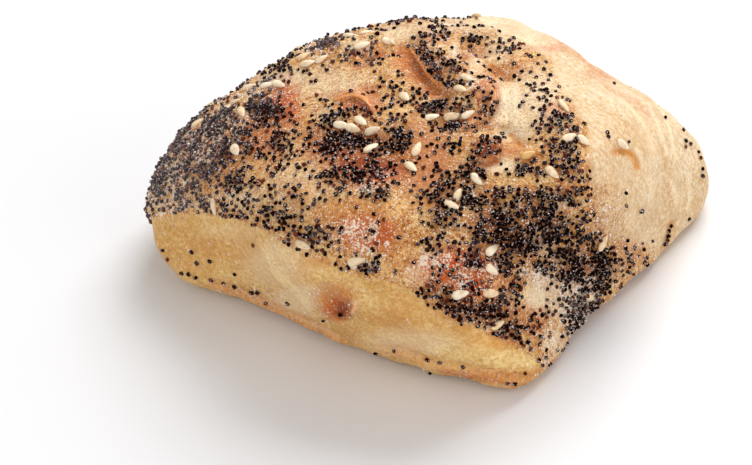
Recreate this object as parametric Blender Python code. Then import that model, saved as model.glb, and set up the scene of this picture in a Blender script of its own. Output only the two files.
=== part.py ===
"""A rustic sesame roll: one piece of bread with sesame and poppy seeds baked onto its crust.

Units are metres, +Z up. The origin is on the surface that the roll lies on, under the middle of its
box. +X runs along its length, and the pale cut side looks towards -Y.

The crust is a star-shaped surface: every point is found from the roll's heart, a point inside it, by
going a worked-out distance in some direction. A direction is a bearing, which is an azimuth from +X
towards +Y and an elevation above the horizon, both in degrees.
"""

import math
import random

import bmesh
import bpy
import numpy as np
from mathutils import Matrix, Vector
from mathutils.bvhtree import BVHTree

MM = 0.001

# Driving dimensions in millimetres: the heart, how much of the base is levelled off, the puffed dome
HEART = (4.7, 1.0, 14.1)
BASE_TRIM = 0.8
DOME_HALF_AXES = (66.0, 57.4, 27.6)
DOME_TURN = -24.0
DOME_ROUNDNESS = 2.3

# Flat sides where the dough was cut or folded: azimuth, elevation, distance from the heart
UPPER_SIDES = {
    "pale slope": (10, 49.5, 37.3),
    "left slope": (203, 49, 45.9),
}
LOWER_SIDES = {
    "cut front": (229.5, -16, 40.5),
    "right end": (-37.5, 6, 36.5),
    "back right": (65, 5, 40.6),
    "back left": (125.5, 33, 46.2),
}
UPPER_EDGE_SHARPNESS = 8.0
LOWER_EDGE_SHARPNESS = 9.5

# Where the oven puffed the dough or held it in: azimuth, elevation, half width in degrees, height
SWELLS = (
    (-68.5, -8, 31, -3.7),
    (-71, -12, 10, 4.2),
    (-80, -14, 5, 1.0),
    (-89, -13, 4, -1.0),
    (-98, -15, 5, 0.7),
    (-107, -16, 5, -0.6),
    (-60, -15, 5, -0.7),
    (-31, 11, 17, 3.5),
    (-77, 32, 29.5, 0.7),
    (-38, 37.5, 24.5, 3.7),
    (19, 9, 9, 0.9),
    (41, 27, 14.5, -1.6),
    (57, 34, 14.5, 3.5),
    (84, 46, 31, -2.1),
    (50, 31, 6, -0.7),
    (130, 51, 18, 1.9),
    (134, 28, 8, 0.8),
    (150, 38, 19, 0.9),
    (160, 14, 5, 2.3),
    (183, 25.5, 22.5, -1.8),
    (186, -11, 6, 1.6),
    (208.5, -6.5, 12, -1.3),
    (234, 22, 21.5, 5.9),
)

# Relief of the crust: the bearings that a ridge or hollow runs along, half width, height (+) or depth (-)
RELIEF = (
    # the torn flap on top, the tear on its left and the shadowed side under it
    (((98, 51), (87, 69), (0, 82), (-51, 70)), 4.6, 2.8),
    (((116, 58), (123, 72), (-162, 86)), 2.6, -2.1),
    (((-97, 62), (-75, 62), (-54, 63)), 2.6, -1.4),
    # a second, smaller flap behind it
    (((79, 50), (64, 51)), 3.2, 1.8),
    (((73, 59), (56, 59)), 2.2, -1.3),
    # the lifted flake at the back left
    (((139, 47), (131, 48), (122, 50)), 1.9, 1.4),
    (((143, 50), (136, 55), (125, 56)), 1.8, -1.0),
    # the blister in the middle with the hollows below it
    (((-164, 54),), 4.6, 1.4),
    (((181, 52), (180, 57), (195, 60), (210, 59)), 1.8, 1.0),
    (((-142, 48), (-127, 49)), 3.0, -1.7),
    (((-130, 39), (-116, 42)), 3.6, -1.1),
    # the small seeded knob and its undercut
    (((-76, 48),), 3.0, 2.1),
    (((-81, 45), (-74, 43)), 2.2, -1.2),
    # bare amber hollows, and the long valley beside the flap
    (((39, 66), (5, 65)), 2.2, -1.1),
    (((-62, 51), (-60, 46)), 2.4, -1.3),
    (((-9, 68), (-52, 55), (-72, 43), (-79, 35)), 5.0, -1.2),
    # the ridge that parts the seeds from the pale slope
    (((31, 51), (-32, 49), (-46, 37), (-50, 24)), 6.0, 1.1),
    (((-54, 33),), 3.2, 1.3),
    # lumps under the thickest seeds on the right end
    (((-82, 27),), 3.8, 1.1),
    (((-71, 25),), 3.6, 1.0),
    (((-61, 15),), 3.6, 1.0),
    (((-60, 8),), 3.6, 0.9),
    (((-48, 3),), 3.8, 1.0),
    # the scorched pit and the long dent in the cut front
    (((-122, 4),), 4.4, -2.0),
    (((-164, 2), (-152, 8)), 6.5, -1.1),
    # the split low on the pale slope
    (((-6, -9), (-10, -14)), 1.7, -1.3),
    # two shallow dents in the back and a fold low on it
    (((58, -4), (76, 8)), 7.0, -1.3),
    (((100, 6), (112, 24)), 6.0, -1.0),
    (((122, -9), (152, -7)), 2.6, -1.0),
    # the left shoulder's ridge and the dip behind it
    (((150, 38), (136, 45), (110, 46)), 5.0, 1.0),
    (((173, 40), (162, 48)), 7.0, -1.2),
)

# The dough's general unevenness: wave lengths along X, Y and Z, and height
UNEVENNESS = (
    (31.0, 43.0, 37.0, 0.45),
    (-19.0, 23.0, 29.0, 0.3),
    (13.0, -17.0, 15.0, 0.2),
)

# Seeds: length, width and thickness, how far a seed sinks in, and the least space between two
SESAME = (3.3, 1.9, 1.1)
SESAME_SUNK = 0.25
SESAME_SPACING = 6.8
SESAME_COUNT = 52
POPPY = (1.35, 1.2, 1.1)
POPPY_SUNK = 0.2
POPPY_SPACING = 3.2
POPPY_COUNT = 92
SEEDED_SIDES = ("dome", "left slope", "right end", "back left")
LOWEST_SEED = 6.0
RANDOM_SEED = 11

# Facets: the sphere that is shaped into the crust, the crust's share of the triangles, and the height
# below which a point belongs to the level underside
SPHERE_SUBDIVISIONS = 6
CRUST_TRIANGLES = 5000
LEVELLED_BELOW = 0.08

CRUST_COLOUR = (0.62, 0.36, 0.14)
CRUST_ROUGHNESS = 0.62


def bearing(azimuth, elevation):
    """Unit vectors towards the bearings: cosines and sines of the two angles."""
    turn = np.radians(azimuth)
    lift = np.radians(elevation)
    return np.stack([np.cos(turn) * np.cos(lift), np.sin(turn) * np.cos(lift), np.sin(lift)], axis=-1)


def dome_gauge(directions):
    """One over the distance to the dome, a rounded box turned about Z and raised to DOME_ROUNDNESS."""
    turn = math.radians(DOME_TURN)
    x = directions[:, 0] * math.cos(turn) + directions[:, 1] * math.sin(turn)
    y = directions[:, 1] * math.cos(turn) - directions[:, 0] * math.sin(turn)
    scaled = np.abs(np.stack([x, y, directions[:, 2]], axis=-1)) / DOME_HALF_AXES
    return (scaled ** DOME_ROUNDNESS).sum(axis=1) ** (1 / DOME_ROUNDNESS)


def side_gauge(directions, side):
    """One over the distance to a flat side, or 0 for a direction that looks away from it."""
    azimuth, elevation, distance = side
    return np.maximum(directions @ bearing(azimuth, elevation), 0) / distance


def side_gauges(directions):
    """The gauge of the dome and of every flat side by name: the largest is the side that is met."""
    gauges = {"dome": dome_gauge(directions)}
    for name, side in {**UPPER_SIDES, **LOWER_SIDES}.items():
        gauges[name] = side_gauge(directions, side)
    return gauges


def blend(gauges, sharpness):
    """Rounds the edges between sides: the root of the sum of the gauges' powers."""
    return sum(gauge ** sharpness for gauge in gauges) ** (1 / sharpness)


def dough_radius(directions):
    """Distance from the heart to the dough before its relief: rounded sides plus soft swells."""
    gauges = side_gauges(directions)
    top = blend([gauges["dome"]] + [gauges[name] for name in UPPER_SIDES], UPPER_EDGE_SHARPNESS)
    base = np.maximum(-directions[:, 2], 0) / (HEART[2] + BASE_TRIM)
    whole = blend([top, base] + [gauges[name] for name in LOWER_SIDES], LOWER_EDGE_SHARPNESS)
    radius = 1 / whole
    for azimuth, elevation, half_width, height in SWELLS:
        away = directions @ bearing(azimuth, elevation) - 1
        radius = radius + height * np.exp(away / math.radians(half_width) ** 2)
    return radius


def distance_to_path(points, path):
    """Shortest distance from each point to a chain of straight stretches, or to a single point."""
    shortest = np.linalg.norm(points - path[0], axis=1)
    for start, end in zip(path[:-1], path[1:]):
        along = end - start
        share = np.clip((points - start) @ along / (along @ along), 0, 1)
        foot = start + share[:, None] * along
        shortest = np.minimum(shortest, np.linalg.norm(points - foot, axis=1))
    return shortest


def crust_points(directions):
    """Points of the crust in millimetres: dough, ridges and hollows with bell-shaped sections, waves."""
    radius = dough_radius(directions)
    plain = directions * radius[:, None]
    for bearings, half_width, height in RELIEF:
        towards = bearing(*np.transpose(bearings))
        path = towards * dough_radius(towards)[:, None]
        radius = radius + height * np.exp(-(distance_to_path(plain, path) / half_width) ** 2)
    for length_x, length_y, length_z, height in UNEVENNESS:
        phase = 2 * math.pi * (plain / (length_x, length_y, length_z))
        radius = radius + height * np.sin(phase[:, 0] + phase[:, 1]) * np.cos(phase[:, 2] - phase[:, 1])
    points = np.array(HEART) + directions * radius[:, None]
    points[:, 2] = np.maximum(points[:, 2], 0)
    return points


def remove_everything():
    """Empties the file that the script is run in."""
    for item in list(bpy.data.objects):
        bpy.data.objects.remove(item, do_unlink=True)


def add_collection(name):
    """A new collection in the scene."""
    collection = bpy.data.collections.new(name)
    bpy.context.scene.collection.children.link(collection)
    return collection


def apply_modifiers(item):
    """Puts the object's evaluated mesh in place of its own and removes its modifiers."""
    evaluated = item.evaluated_get(bpy.context.evaluated_depsgraph_get())
    mesh = bpy.data.meshes.new_from_object(evaluated)
    item.modifiers.clear()
    old = item.data
    item.data = mesh
    bpy.data.meshes.remove(old)


def make_crust(collection):
    """A sphere whose vertices are moved out to the crust, thinned, and set quite level underneath."""
    shape = bmesh.new()
    bmesh.ops.create_icosphere(shape, subdivisions=SPHERE_SUBDIVISIONS, radius=1.0)
    directions = np.array([vertex.co for vertex in shape.verts])
    directions /= np.linalg.norm(directions, axis=1)[:, None]
    for vertex, point in zip(shape.verts, crust_points(directions) * MM):
        vertex.co = point
    mesh = bpy.data.meshes.new("roll")
    shape.to_mesh(mesh)
    shape.free()
    crust = bpy.data.objects.new("roll", mesh)
    collection.objects.link(crust)
    thinning = crust.modifiers.new("thinning", "DECIMATE")
    thinning.ratio = CRUST_TRIANGLES / len(mesh.polygons)
    apply_modifiers(crust)
    for vertex in crust.data.vertices:
        if vertex.co.z < LEVELLED_BELOW * MM:
            vertex.co.z = 0
    return crust


def seed_bearings(count):
    """Directions spread evenly over a sphere on a golden-angle spiral."""
    step = np.arange(count) + 0.5
    height = 1 - 2 * step / count
    turn = step * math.pi * (3 - math.sqrt(5))
    level = np.sqrt(1 - height ** 2)
    return np.stack([level * np.cos(turn), level * np.sin(turn), height], axis=-1)


def is_seeded(directions):
    """True where the side that is met was dipped in seeds, clear of the underside."""
    gauges = side_gauges(directions)
    names = list(gauges)
    met = np.argmax([gauges[name] for name in names], axis=0)
    dipped = np.isin(met, [names.index(name) for name in SEEDED_SIDES])
    return dipped & (crust_points(directions)[:, 2] > LOWEST_SEED)


def seed_places(surface, spots, taken, count, spacing):
    """The first spots, in a shuffled order, that lie at least the spacing from every taken one."""
    places = []
    for spot in spots:
        place, normal, _, _ = surface.ray_cast(Vector(HEART) * MM, Vector(spot))
        if all((place - other).length > spacing * MM for other in taken):
            taken.append(place)
            places.append((place, normal))
        if len(places) == count:
            break
    return places


def add_seed(name, place, normal, size, sunk, twist, collection):
    """One seed lying on the crust: a few-sided ball, longer than wide, drawn in towards its tip."""
    length, width, thickness = size
    shape = bmesh.new()
    if name.startswith("sesame"):
        bmesh.ops.create_uvsphere(shape, u_segments=6, v_segments=4, radius=0.5)
        quarter_turn = Matrix.Rotation(math.pi / 2, 4, "Y")
        bmesh.ops.transform(shape, matrix=quarter_turn, verts=shape.verts)
    else:
        bmesh.ops.create_icosphere(shape, subdivisions=1, radius=0.5)
    for vertex in shape.verts:
        taper = 1 - 0.45 * vertex.co.x
        vertex.co.x *= length * MM
        vertex.co.y *= width * MM * taper
        vertex.co.z *= thickness * MM * taper
    mesh = bpy.data.meshes.new(name)
    shape.to_mesh(mesh)
    shape.free()
    seed = bpy.data.objects.new(name, mesh)
    stand = normal.to_track_quat("Z", "Y").to_matrix().to_4x4()
    lift = (0.5 * thickness - sunk) * MM
    seed.matrix_world = Matrix.Translation(place + normal * lift) @ stand @ Matrix.Rotation(twist, 4, "Z")
    collection.objects.link(seed)


def make_seeds(crust, collection):
    """Sesame seeds first, then poppy seeds in the gaps, each twisted its own way."""
    draw = random.Random(RANDOM_SEED)
    surface = BVHTree.FromPolygons(
        [vertex.co for vertex in crust.data.vertices],
        [tuple(face.vertices) for face in crust.data.polygons],
    )
    spots = seed_bearings(2600)
    spots = spots[is_seeded(spots)].tolist()
    draw.shuffle(spots)
    taken = []
    sesame_places = seed_places(surface, spots, taken, SESAME_COUNT, SESAME_SPACING)
    poppy_places = seed_places(surface, spots, taken, POPPY_COUNT, POPPY_SPACING)
    for index, (place, normal) in enumerate(sesame_places):
        twist = draw.uniform(0, 2 * math.pi)
        add_seed(f"sesame_{index}", place, normal, SESAME, SESAME_SUNK, twist, collection)
    for index, (place, normal) in enumerate(poppy_places):
        twist = draw.uniform(0, 2 * math.pi)
        add_seed(f"poppy_{index}", place, normal, POPPY, POPPY_SUNK, twist, collection)


def fuse(crust, seeds):
    """Joins the seeds to the crust in one solid, then removes the loose seeds."""
    union = crust.modifiers.new("seeds", "BOOLEAN")
    union.operation = "UNION"
    union.operand_type = "COLLECTION"
    union.collection = seeds
    union.solver = "MANIFOLD"
    apply_modifiers(crust)
    for seed in list(seeds.objects):
        bpy.data.objects.remove(seed, do_unlink=True)
    bpy.data.collections.remove(seeds)


def crust_material():
    """Matt golden crust."""
    material = bpy.data.materials.new("crust")
    material.use_nodes = True
    shader = material.node_tree.nodes["Principled BSDF"]
    shader.inputs["Base Color"].default_value = (*CRUST_COLOUR, 1)
    shader.inputs["Roughness"].default_value = CRUST_ROUGHNESS
    shader.inputs["Metallic"].default_value = 0
    return material


def main():
    """Builds the roll as one solid."""
    remove_everything()
    crust = make_crust(add_collection("sesame roll"))
    seeds = add_collection("seeds")
    make_seeds(crust, seeds)
    fuse(crust, seeds)
    crust.data.materials.clear()
    crust.data.materials.append(crust_material())


main()
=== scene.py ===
"""The looks of a rustic sesame roll: its crust, poppy seeds, sesame seeds and flour.

Lengths are metres unless a name or comment says millimetres. The crust repeats the roll's own form,
a distance worked out for every direction from the roll's heart, and adds the finer relief.
"""

import itertools
import math

import bpy
import numpy as np
from mathutils import Matrix, Vector
from mathutils.bvhtree import BVHTree


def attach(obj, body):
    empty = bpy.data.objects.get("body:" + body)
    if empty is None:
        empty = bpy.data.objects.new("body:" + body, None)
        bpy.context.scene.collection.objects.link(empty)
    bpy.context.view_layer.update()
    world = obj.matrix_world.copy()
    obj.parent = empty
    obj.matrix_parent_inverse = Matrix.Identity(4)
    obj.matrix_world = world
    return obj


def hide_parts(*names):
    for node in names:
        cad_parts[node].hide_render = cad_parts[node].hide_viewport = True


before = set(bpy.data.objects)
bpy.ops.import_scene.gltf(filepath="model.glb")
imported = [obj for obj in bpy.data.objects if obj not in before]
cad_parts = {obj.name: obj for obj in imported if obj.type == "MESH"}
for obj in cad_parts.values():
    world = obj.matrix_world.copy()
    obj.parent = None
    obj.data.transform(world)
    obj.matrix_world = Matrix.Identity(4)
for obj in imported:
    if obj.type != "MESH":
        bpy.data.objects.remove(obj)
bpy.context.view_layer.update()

MM = 0.001

# Picture: its size in pixels, and the place and lens of the camera that sees the roll as it was seen
PICTURE_SIZE = (752, 465)
CAMERA_AIM = (-0.0115, 0.0119, 0.0)
CAMERA_DISTANCE = 0.6966
CAMERA_ELEVATION = 34.5
CAMERA_ROLL = 4.63
SENSOR_WIDTH = 36.0
LENS = 160.9
PIXELS_PER_MM = 4.8

# The roll's form in millimetres, as it was built: heart, dome, flat sides and swells
HEART = np.array([4.7, 1.0, 14.1])
BASE_TRIM = 0.8
DOME_HALF_AXES = (66.0, 57.4, 27.6)
DOME_TURN = -24.0
DOME_ROUNDNESS = 2.3
UPPER_SIDES = {
    "pale slope": (10, 49.5, 37.3),
    "left slope": (203, 49, 45.9),
}
LOWER_SIDES = {
    "cut front": (229.5, -16, 40.5),
    "right end": (-37.5, 6, 36.5),
    "back right": (65, 5, 40.6),
    "back left": (125.5, 33, 46.2),
}
UPPER_EDGE_SHARPNESS = 8.0
LOWER_EDGE_SHARPNESS = 9.5

# Swells: azimuth, elevation, half width in degrees, height
SWELLS = (
    (-68.5, -8, 31, -3.7), (-71, -12, 10, 4.2), (-80, -14, 5, 1.0), (-89, -13, 4, -1.0), (-98, -15, 5, 0.7),
    (-107, -16, 5, -0.6), (-60, -15, 5, -0.7), (-31, 11, 17, 3.5), (-77, 32, 29.5, 0.7),
    (-38, 37.5, 24.5, 3.7), (19, 9, 9, 0.9), (41, 27, 14.5, -1.6), (57, 34, 14.5, 3.5), (84, 46, 31, -2.1),
    (50, 31, 6, -0.7), (130, 51, 18, 1.9), (134, 28, 8, 0.8), (150, 38, 19, 0.9), (160, 14, 5, 2.3),
    (183, 25.5, 22.5, -1.8), (186, -11, 6, 1.6), (208.5, -6.5, 12, -1.3), (234, 22, 21.5, 5.9),
)

# Ridges and hollows: the bearings they run along, half width, height (+) or depth (-)
RELIEF = (
    (((98, 51), (87, 69), (0, 82), (-51, 70)), 4.6, 2.8),
    (((116, 58), (123, 72), (-162, 86)), 2.6, -2.1),
    (((-97, 62), (-75, 62), (-54, 63)), 2.6, -1.4),
    (((79, 50), (64, 51)), 3.2, 1.8),
    (((73, 59), (56, 59)), 2.2, -1.3),
    (((139, 47), (131, 48), (122, 50)), 1.9, 1.4),
    (((143, 50), (136, 55), (125, 56)), 1.8, -1.0),
    (((-164, 54),), 4.6, 1.4),
    (((181, 52), (180, 57), (195, 60), (210, 59)), 1.8, 1.0),
    (((-142, 48), (-127, 49)), 3.0, -1.7),
    (((-130, 39), (-116, 42)), 3.6, -1.1),
    (((-76, 48),), 3.0, 2.1),
    (((-81, 45), (-74, 43)), 2.2, -1.2),
    (((39, 66), (5, 65)), 2.2, -1.1),
    (((-62, 51), (-60, 46)), 2.4, -1.3),
    (((-9, 68), (-52, 55), (-72, 43), (-79, 35)), 5.0, -1.2),
    (((31, 51), (-32, 49), (-46, 37), (-50, 24)), 6.0, 1.1),
    (((-54, 33),), 3.2, 1.3),
    (((-82, 27),), 3.8, 1.1),
    (((-71, 25),), 3.6, 1.0),
    (((-61, 15),), 3.6, 1.0),
    (((-60, 8),), 3.6, 0.9),
    (((-48, 3),), 3.8, 1.0),
    (((-122, 4),), 4.4, -2.0),
    (((-164, 2), (-152, 8)), 6.5, -1.1),
    (((-6, -9), (-10, -14)), 1.7, -1.3),
    (((58, -4), (76, 8)), 7.0, -1.3),
    (((100, 6), (112, 24)), 6.0, -1.0),
    (((122, -9), (152, -7)), 2.6, -1.0),
    (((150, 38), (136, 45), (110, 46)), 5.0, 1.0),
    (((173, 40), (162, 48)), 7.0, -1.2),
)

# The dough's unevenness: wave lengths along X, Y and Z, and height
UNEVENNESS = (
    (31.0, 43.0, 37.0, 0.45),
    (-19.0, 23.0, 29.0, 0.3),
    (13.0, -17.0, 15.0, 0.2),
)

# Ribs that the pull left on the pale slope, and a groove beside them: the pixels they run through
LEFT_RIB = ((592, 78), (608, 92), (624, 102), (640, 118), (650, 138), (655, 160))
RIGHT_RIB = ((652, 98), (662, 110), (669, 126), (673, 144), (677, 162))
GROOVE = ((658, 140), (664, 160), (668, 182), (670, 204))

# Finer relief: the pixels it runs through, half width and height in millimetres
FINE_RELIEF = (
    # the flap's rounded right side
    (((488, 82), (492, 98), (486, 112)), 1.6, 0.5),
    # grooves right of the flap and the pale skin between them
    (((460, 52), (466, 62), (472, 70), (478, 77)), 0.8, -0.7),
    (((466, 51), (474, 60), (482, 70)), 1.1, 0.5),
    (((448, 44), (456, 56), (462, 66)), 1.1, 0.4),
    (((500, 84), (503, 104), (500, 122)), 1.0, 0.35),
    (((512, 84), (514, 104), (512, 126)), 1.0, 0.35),
    (((507, 86), (508, 106), (506, 126)), 0.8, -0.3),
    (((507, 130), (523, 142)), 1.1, -1.2),
    (((520, 158), (536, 151)), 0.8, 0.6),
    # hollows in the middle of the top
    (((346, 108), (362, 112)), 1.6, -0.4),
    (((340, 137), (368, 140)), 1.6, -0.9),
    (((350, 164), (384, 168)), 1.8, -0.7),
    (((392, 132), (404, 130)), 1.2, -0.5),
    (((448, 204), (466, 200)), 1.6, -0.6),
    # steps under the seed heaps of the right end
    (((496, 214), (520, 214)), 1.6, -0.5),
    (((534, 226), (556, 222)), 1.6, -0.5),
    (((546, 247), (576, 240)), 1.2, 0.5),
    (((590, 250), (604, 262)), 1.6, -0.5),
    # dimples of the cut front: the stain's core and the soft dents round it
    (((341, 302), (343, 314)), 1.8, -0.6),
    (((351, 315), (354, 308), (356, 300)), 0.7, 0.8),
    (((392, 312), (432, 330)), 3.0, 0.3),
    (((402, 336), (440, 346)), 2.4, -0.25),
    (((264, 242), (282, 268), (304, 296)), 3.2, -0.5),
    # ribs and grooves of the pale slope
    (LEFT_RIB, 0.7, 0.3),
    (RIGHT_RIB, 0.7, 0.3),
    (GROOVE, 0.7, -0.3),
    (((676, 150), (684, 170), (686, 190)), 0.8, -0.3),
    # torn edge at the right of the cut front
    (((562, 342), (552, 356)), 1.4, 0.5),
    # full low corner at the left of the cut front
    (((172, 244), (180, 258), (190, 270)), 4.6, 2.7),
    # amber spot and split on the pale slope
    (((616, 149), (630, 153)), 1.0, -0.5),
    (((634, 152), (640, 166)), 0.9, -0.4),
    (((671, 222), (664, 246)), 0.6, -0.9),
    (((677, 226), (671, 248)), 0.9, 0.4),
)

# Folds: the pixels an edge runs through, then height and reach of the raised skin on the left hand of
# that way, depth and reach of the hollow on its right hand, all in millimetres
FOLDS = (
    # torn lip of the flap, and its rounded end
    (((409, 48), (417, 59), (423, 68), (430, 77), (438, 85), (450, 92), (460, 97)), 0.8, 2.6, 0.5, 2.6),
    (((450, 130), (466, 127), (478, 122), (489, 116), (494, 106), (495, 92), (487, 78)), 0.6, 1.8, 0.6, 1.4),
    # hollow under the floury heap behind the flap
    (((458, 42), (468, 46), (477, 47), (488, 46)), 0.7, 1.6, 0.9, 1.6),
    # glazed hollow right of the flap
    (((514, 82), (503, 80), (495, 75), (486, 68)), 0.4, 1.0, 0.7, 1.5),
    # lifted flake near the back
    (((344, 57), (358, 57), (365, 51), (372, 46), (384, 41)), 0.8, 2.2, 0.9, 1.6),
    # blister with a glazed rim, and the step beside it
    (((332, 103), (342, 98), (352, 96), (361, 98), (367, 104), (371, 111), (375, 116)), 0.5, 0.8, 0.35, 1.6),
    (((379, 116), (374, 102), (366, 92), (354, 85)), 0.4, 2.0, 0.7, 1.6),
    # undersides of the knob and of the heaps right of it
    (((472, 157), (486, 161), (502, 156)), 0.4, 1.6, 0.8, 1.4),
    (((556, 186), (572, 190), (590, 187)), 0.5, 1.6, 0.7, 1.4),
    # edge of the seeded skin on the pale slope
    (((606, 244), (595, 222), (592, 200), (589, 165), (587, 150)), 0.35, 1.6, 0.35, 1.2),
    # thin lip along the foot of the cut front
    (((356, 349), (325, 335), (300, 323), (280, 314), (250, 300), (225, 288), (200, 282)),
     0.6, 0.9, 0.4, 1.2),
    (((540, 378), (512, 380), (490, 375), (460, 370), (430, 364), (400, 353), (372, 348)),
     0.5, 0.9, 0.4, 1.4),
)

# Thin torn lips: the pixels they run through, with the hollow on the right hand of that way
LIPS = (
    # flap, and its rounded end
    ((408, 46), (415, 55), (422, 66), (429, 76), (436, 84), (446, 91)),
    ((488, 117), (494, 106), (495, 92), (490, 82)),
    # rim of the blister
    ((331, 103), (342, 97), (352, 95), (361, 97), (368, 103), (373, 112)),
    # flake beside the stain's core
    ((356, 299), (354, 307), (351, 315)),
)
# Section of a lip in millimetres: across towards its hollow, and outwards
LIP_SECTION = ((-0.5, -0.3), (-0.22, 0.1), (0.03, 0.22), (0.24, 0.16), (0.26, 0.0), (0.05, -0.35))

# Bare sides as the picture shows them: the corners of the cut front and of the pale slope
BARE_OUTLINES = (
    (
        (148, 228), (155, 220), (165, 215), (180, 213), (202, 215), (222, 217), (240, 220), (252, 225),
        (265, 231), (280, 241), (295, 250), (315, 259), (335, 268), (350, 273), (367, 278), (382, 279),
        (400, 284), (416, 294), (425, 303), (440, 311), (460, 323), (475, 328), (495, 338), (510, 346),
        (525, 353), (537, 361), (548, 372), (540, 400), (400, 410), (130, 340), (130, 240),
    ),
    (
        (470, 10), (486, 26), (508, 34), (524, 41), (538, 52), (551, 60), (556, 76), (562, 90), (572, 101),
        (576, 115), (587, 124), (588, 150), (590, 185), (592, 205), (594, 226), (604, 236), (620, 240),
        (638, 246), (652, 258), (655, 285), (760, 240), (760, 60), (600, 0),
    ),
)

# Where a patch ends, and how wide its fading edge is, both as shares of its half sizes
PATCH_END = 1.5
PATCH_FADE = 0.9

# Patches in the picture: x, y, half width, half height in pixels, strength. First where poppy seeds lie
POPPY_PATCHES = (
    # left side
    (196, 146, 34, 40, 0.72), (168, 180, 20, 32, 0.68), (224, 138, 26, 32, 0.76), (230, 110, 20, 12, 0.65),
    (268, 106, 18, 18, 1.0), (260, 122, 16, 10, 0.6), (282, 146, 14, 16, 0.75), (274, 82, 14, 9, 0.6),
    (220, 172, 24, 16, 0.8), (186, 180, 20, 26, 0.66), (190, 204, 30, 10, 0.7), (268, 178, 26, 14, 0.45),
    (246, 140, 10, 16, 0.85), (290, 124, 16, 14, 0.3), (238, 206, 38, 13, 0.52), (280, 217, 24, 14, 0.64),
    (310, 237, 27, 16, 0.58),
    # ridge at the back left
    (332, 45, 16, 6, 0.65), (286, 68, 24, 6, 0.6), (322, 68, 24, 5, 0.27), (372, 48, 13, 6, 0.85),
    (350, 54, 10, 6, 0.8), (376, 34, 12, 5, 0.4), (376, 52, 11, 8, 0.8), (324, 122, 12, 10, 0.6),
    (384, 120, 12, 10, 0.45), (390, 78, 12, 10, 0.35), (394, 98, 10, 8, 0.5), (408, 92, 12, 8, 0.5),
    # middle
    (352, 122, 30, 9, 0.68), (350, 142, 24, 12, 0.95), (350, 116, 20, 6, 0.8), (346, 144, 38, 18, 0.66),
    (397, 143, 14, 14, 0.8), (326, 152, 22, 9, 0.35), (358, 167, 38, 14, 0.67), (330, 184, 24, 14, 0.62),
    (408, 184, 10, 9, 0.6), (372, 194, 16, 10, 0.85), (396, 182, 14, 12, 0.45), (300, 150, 18, 26, 0.3),
    # flap, the top behind it and the skin right of it
    (421, 50, 9, 6, 0.85), (428, 60, 8, 8, 0.95), (434, 72, 9, 8, 1.0), (444, 84, 10, 7, 1.0),
    (452, 86, 12, 9, 0.85), (462, 98, 12, 7, 0.6), (484, 96, 8, 10, 0.4), (454, 68, 6, 8, 0.85),
    (464, 88, 12, 7, 0.6), (490, 103, 8, 14, 1.0), (440, 60, 9, 8, 0.6), (412, 100, 16, 9, 0.7),
    (434, 109, 20, 7, 0.85), (458, 110, 18, 7, 0.9), (446, 126, 18, 6, 0.9), (426, 38, 11, 6, 0.75),
    (440, 32, 12, 5, 0.6), (418, 24, 24, 6, 0.4), (471, 39, 11, 4, 0.9), (490, 43, 16, 6, 0.65),
    (510, 46, 12, 8, 0.5), (526, 62, 14, 7, 0.25), (538, 78, 12, 9, 0.28), (544, 102, 18, 16, 0.42),
    # strip beside the pale slope
    (554, 122, 16, 13, 0.9), (560, 150, 17, 13, 0.82), (564, 172, 17, 8, 0.88), (530, 173, 16, 9, 0.88),
    (582, 158, 8, 10, 0.45), (584, 186, 10, 18, 0.6), (540, 198, 30, 12, 0.72), (500, 197, 18, 11, 0.62),
    (564, 200, 24, 10, 0.65), (588, 216, 12, 14, 0.55),
    # knob and the heaps below it
    (488, 148, 13, 10, 1.0), (448, 146, 14, 10, 0.6), (432, 150, 10, 8, 0.4), (470, 174, 14, 12, 0.85),
    (448, 182, 16, 11, 0.75), (452, 198, 30, 14, 1.0), (442, 218, 12, 14, 0.95), (446, 244, 22, 12, 0.68),
    (428, 192, 16, 20, 0.55), (412, 160, 12, 14, 0.35),
    # right end
    (496, 226, 22, 18, 1.0), (504, 212, 22, 9, 0.95), (478, 208, 12, 12, 0.9), (474, 256, 12, 9, 0.8),
    (536, 218, 30, 13, 1.0), (514, 242, 24, 13, 1.0), (562, 252, 20, 8, 0.85), (584, 242, 12, 9, 0.9),
    (470, 262, 16, 8, 0.7), (470, 290, 14, 9, 0.95), (500, 306, 22, 10, 0.6), (492, 262, 12, 9, 0.75),
    (622, 262, 12, 9, 0.3), (596, 264, 15, 20, 0.9), (576, 270, 24, 16, 0.97), (560, 234, 24, 12, 0.92),
    (602, 284, 12, 10, 0.8), (588, 300, 16, 16, 0.8), (560, 304, 9, 14, 0.5), (576, 312, 14, 20, 0.8),
    (486, 246, 18, 12, 0.97), (508, 268, 24, 10, 0.8), (514, 288, 12, 10, 0.72), (544, 267, 14, 7, 0.85),
    # along the cut front's upper edge
    (430, 291, 14, 9, 0.9), (446, 292, 14, 7, 0.8), (454, 300, 20, 12, 0.95), (482, 314, 26, 13, 1.0),
    (494, 294, 24, 8, 0.8), (508, 331, 18, 9, 0.85), (540, 326, 12, 18, 0.5), (524, 344, 12, 7, 0.5),
    # small clusters here and there
    (368, 268, 18, 6, 0.7), (302, 196, 12, 10, 0.6), (444, 270, 13, 8, 0.48), (400, 88, 9, 8, 0.45),
    (520, 350, 8, 7, 0.55), (460, 190, 9, 8, 0.95), (380, 250, 8, 8, 0.5), (374, 152, 12, 8, 0.9),
    (352, 176, 12, 8, 0.9), (308, 206, 9, 8, 0.5), (262, 156, 8, 7, 0.65), (238, 184, 10, 8, 0.75),
    (456, 256, 9, 8, 0.6), (458, 282, 9, 8, 0.55), (503, 254, 9, 8, 0.8), (526, 230, 9, 8, 1.0),
    (550, 206, 9, 8, 1.0), (572, 134, 8, 9, 0.75), (550, 160, 8, 7, 0.85), (502, 328, 9, 8, 0.85),
)
POPPY_BACKGROUND = 0.12
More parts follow.
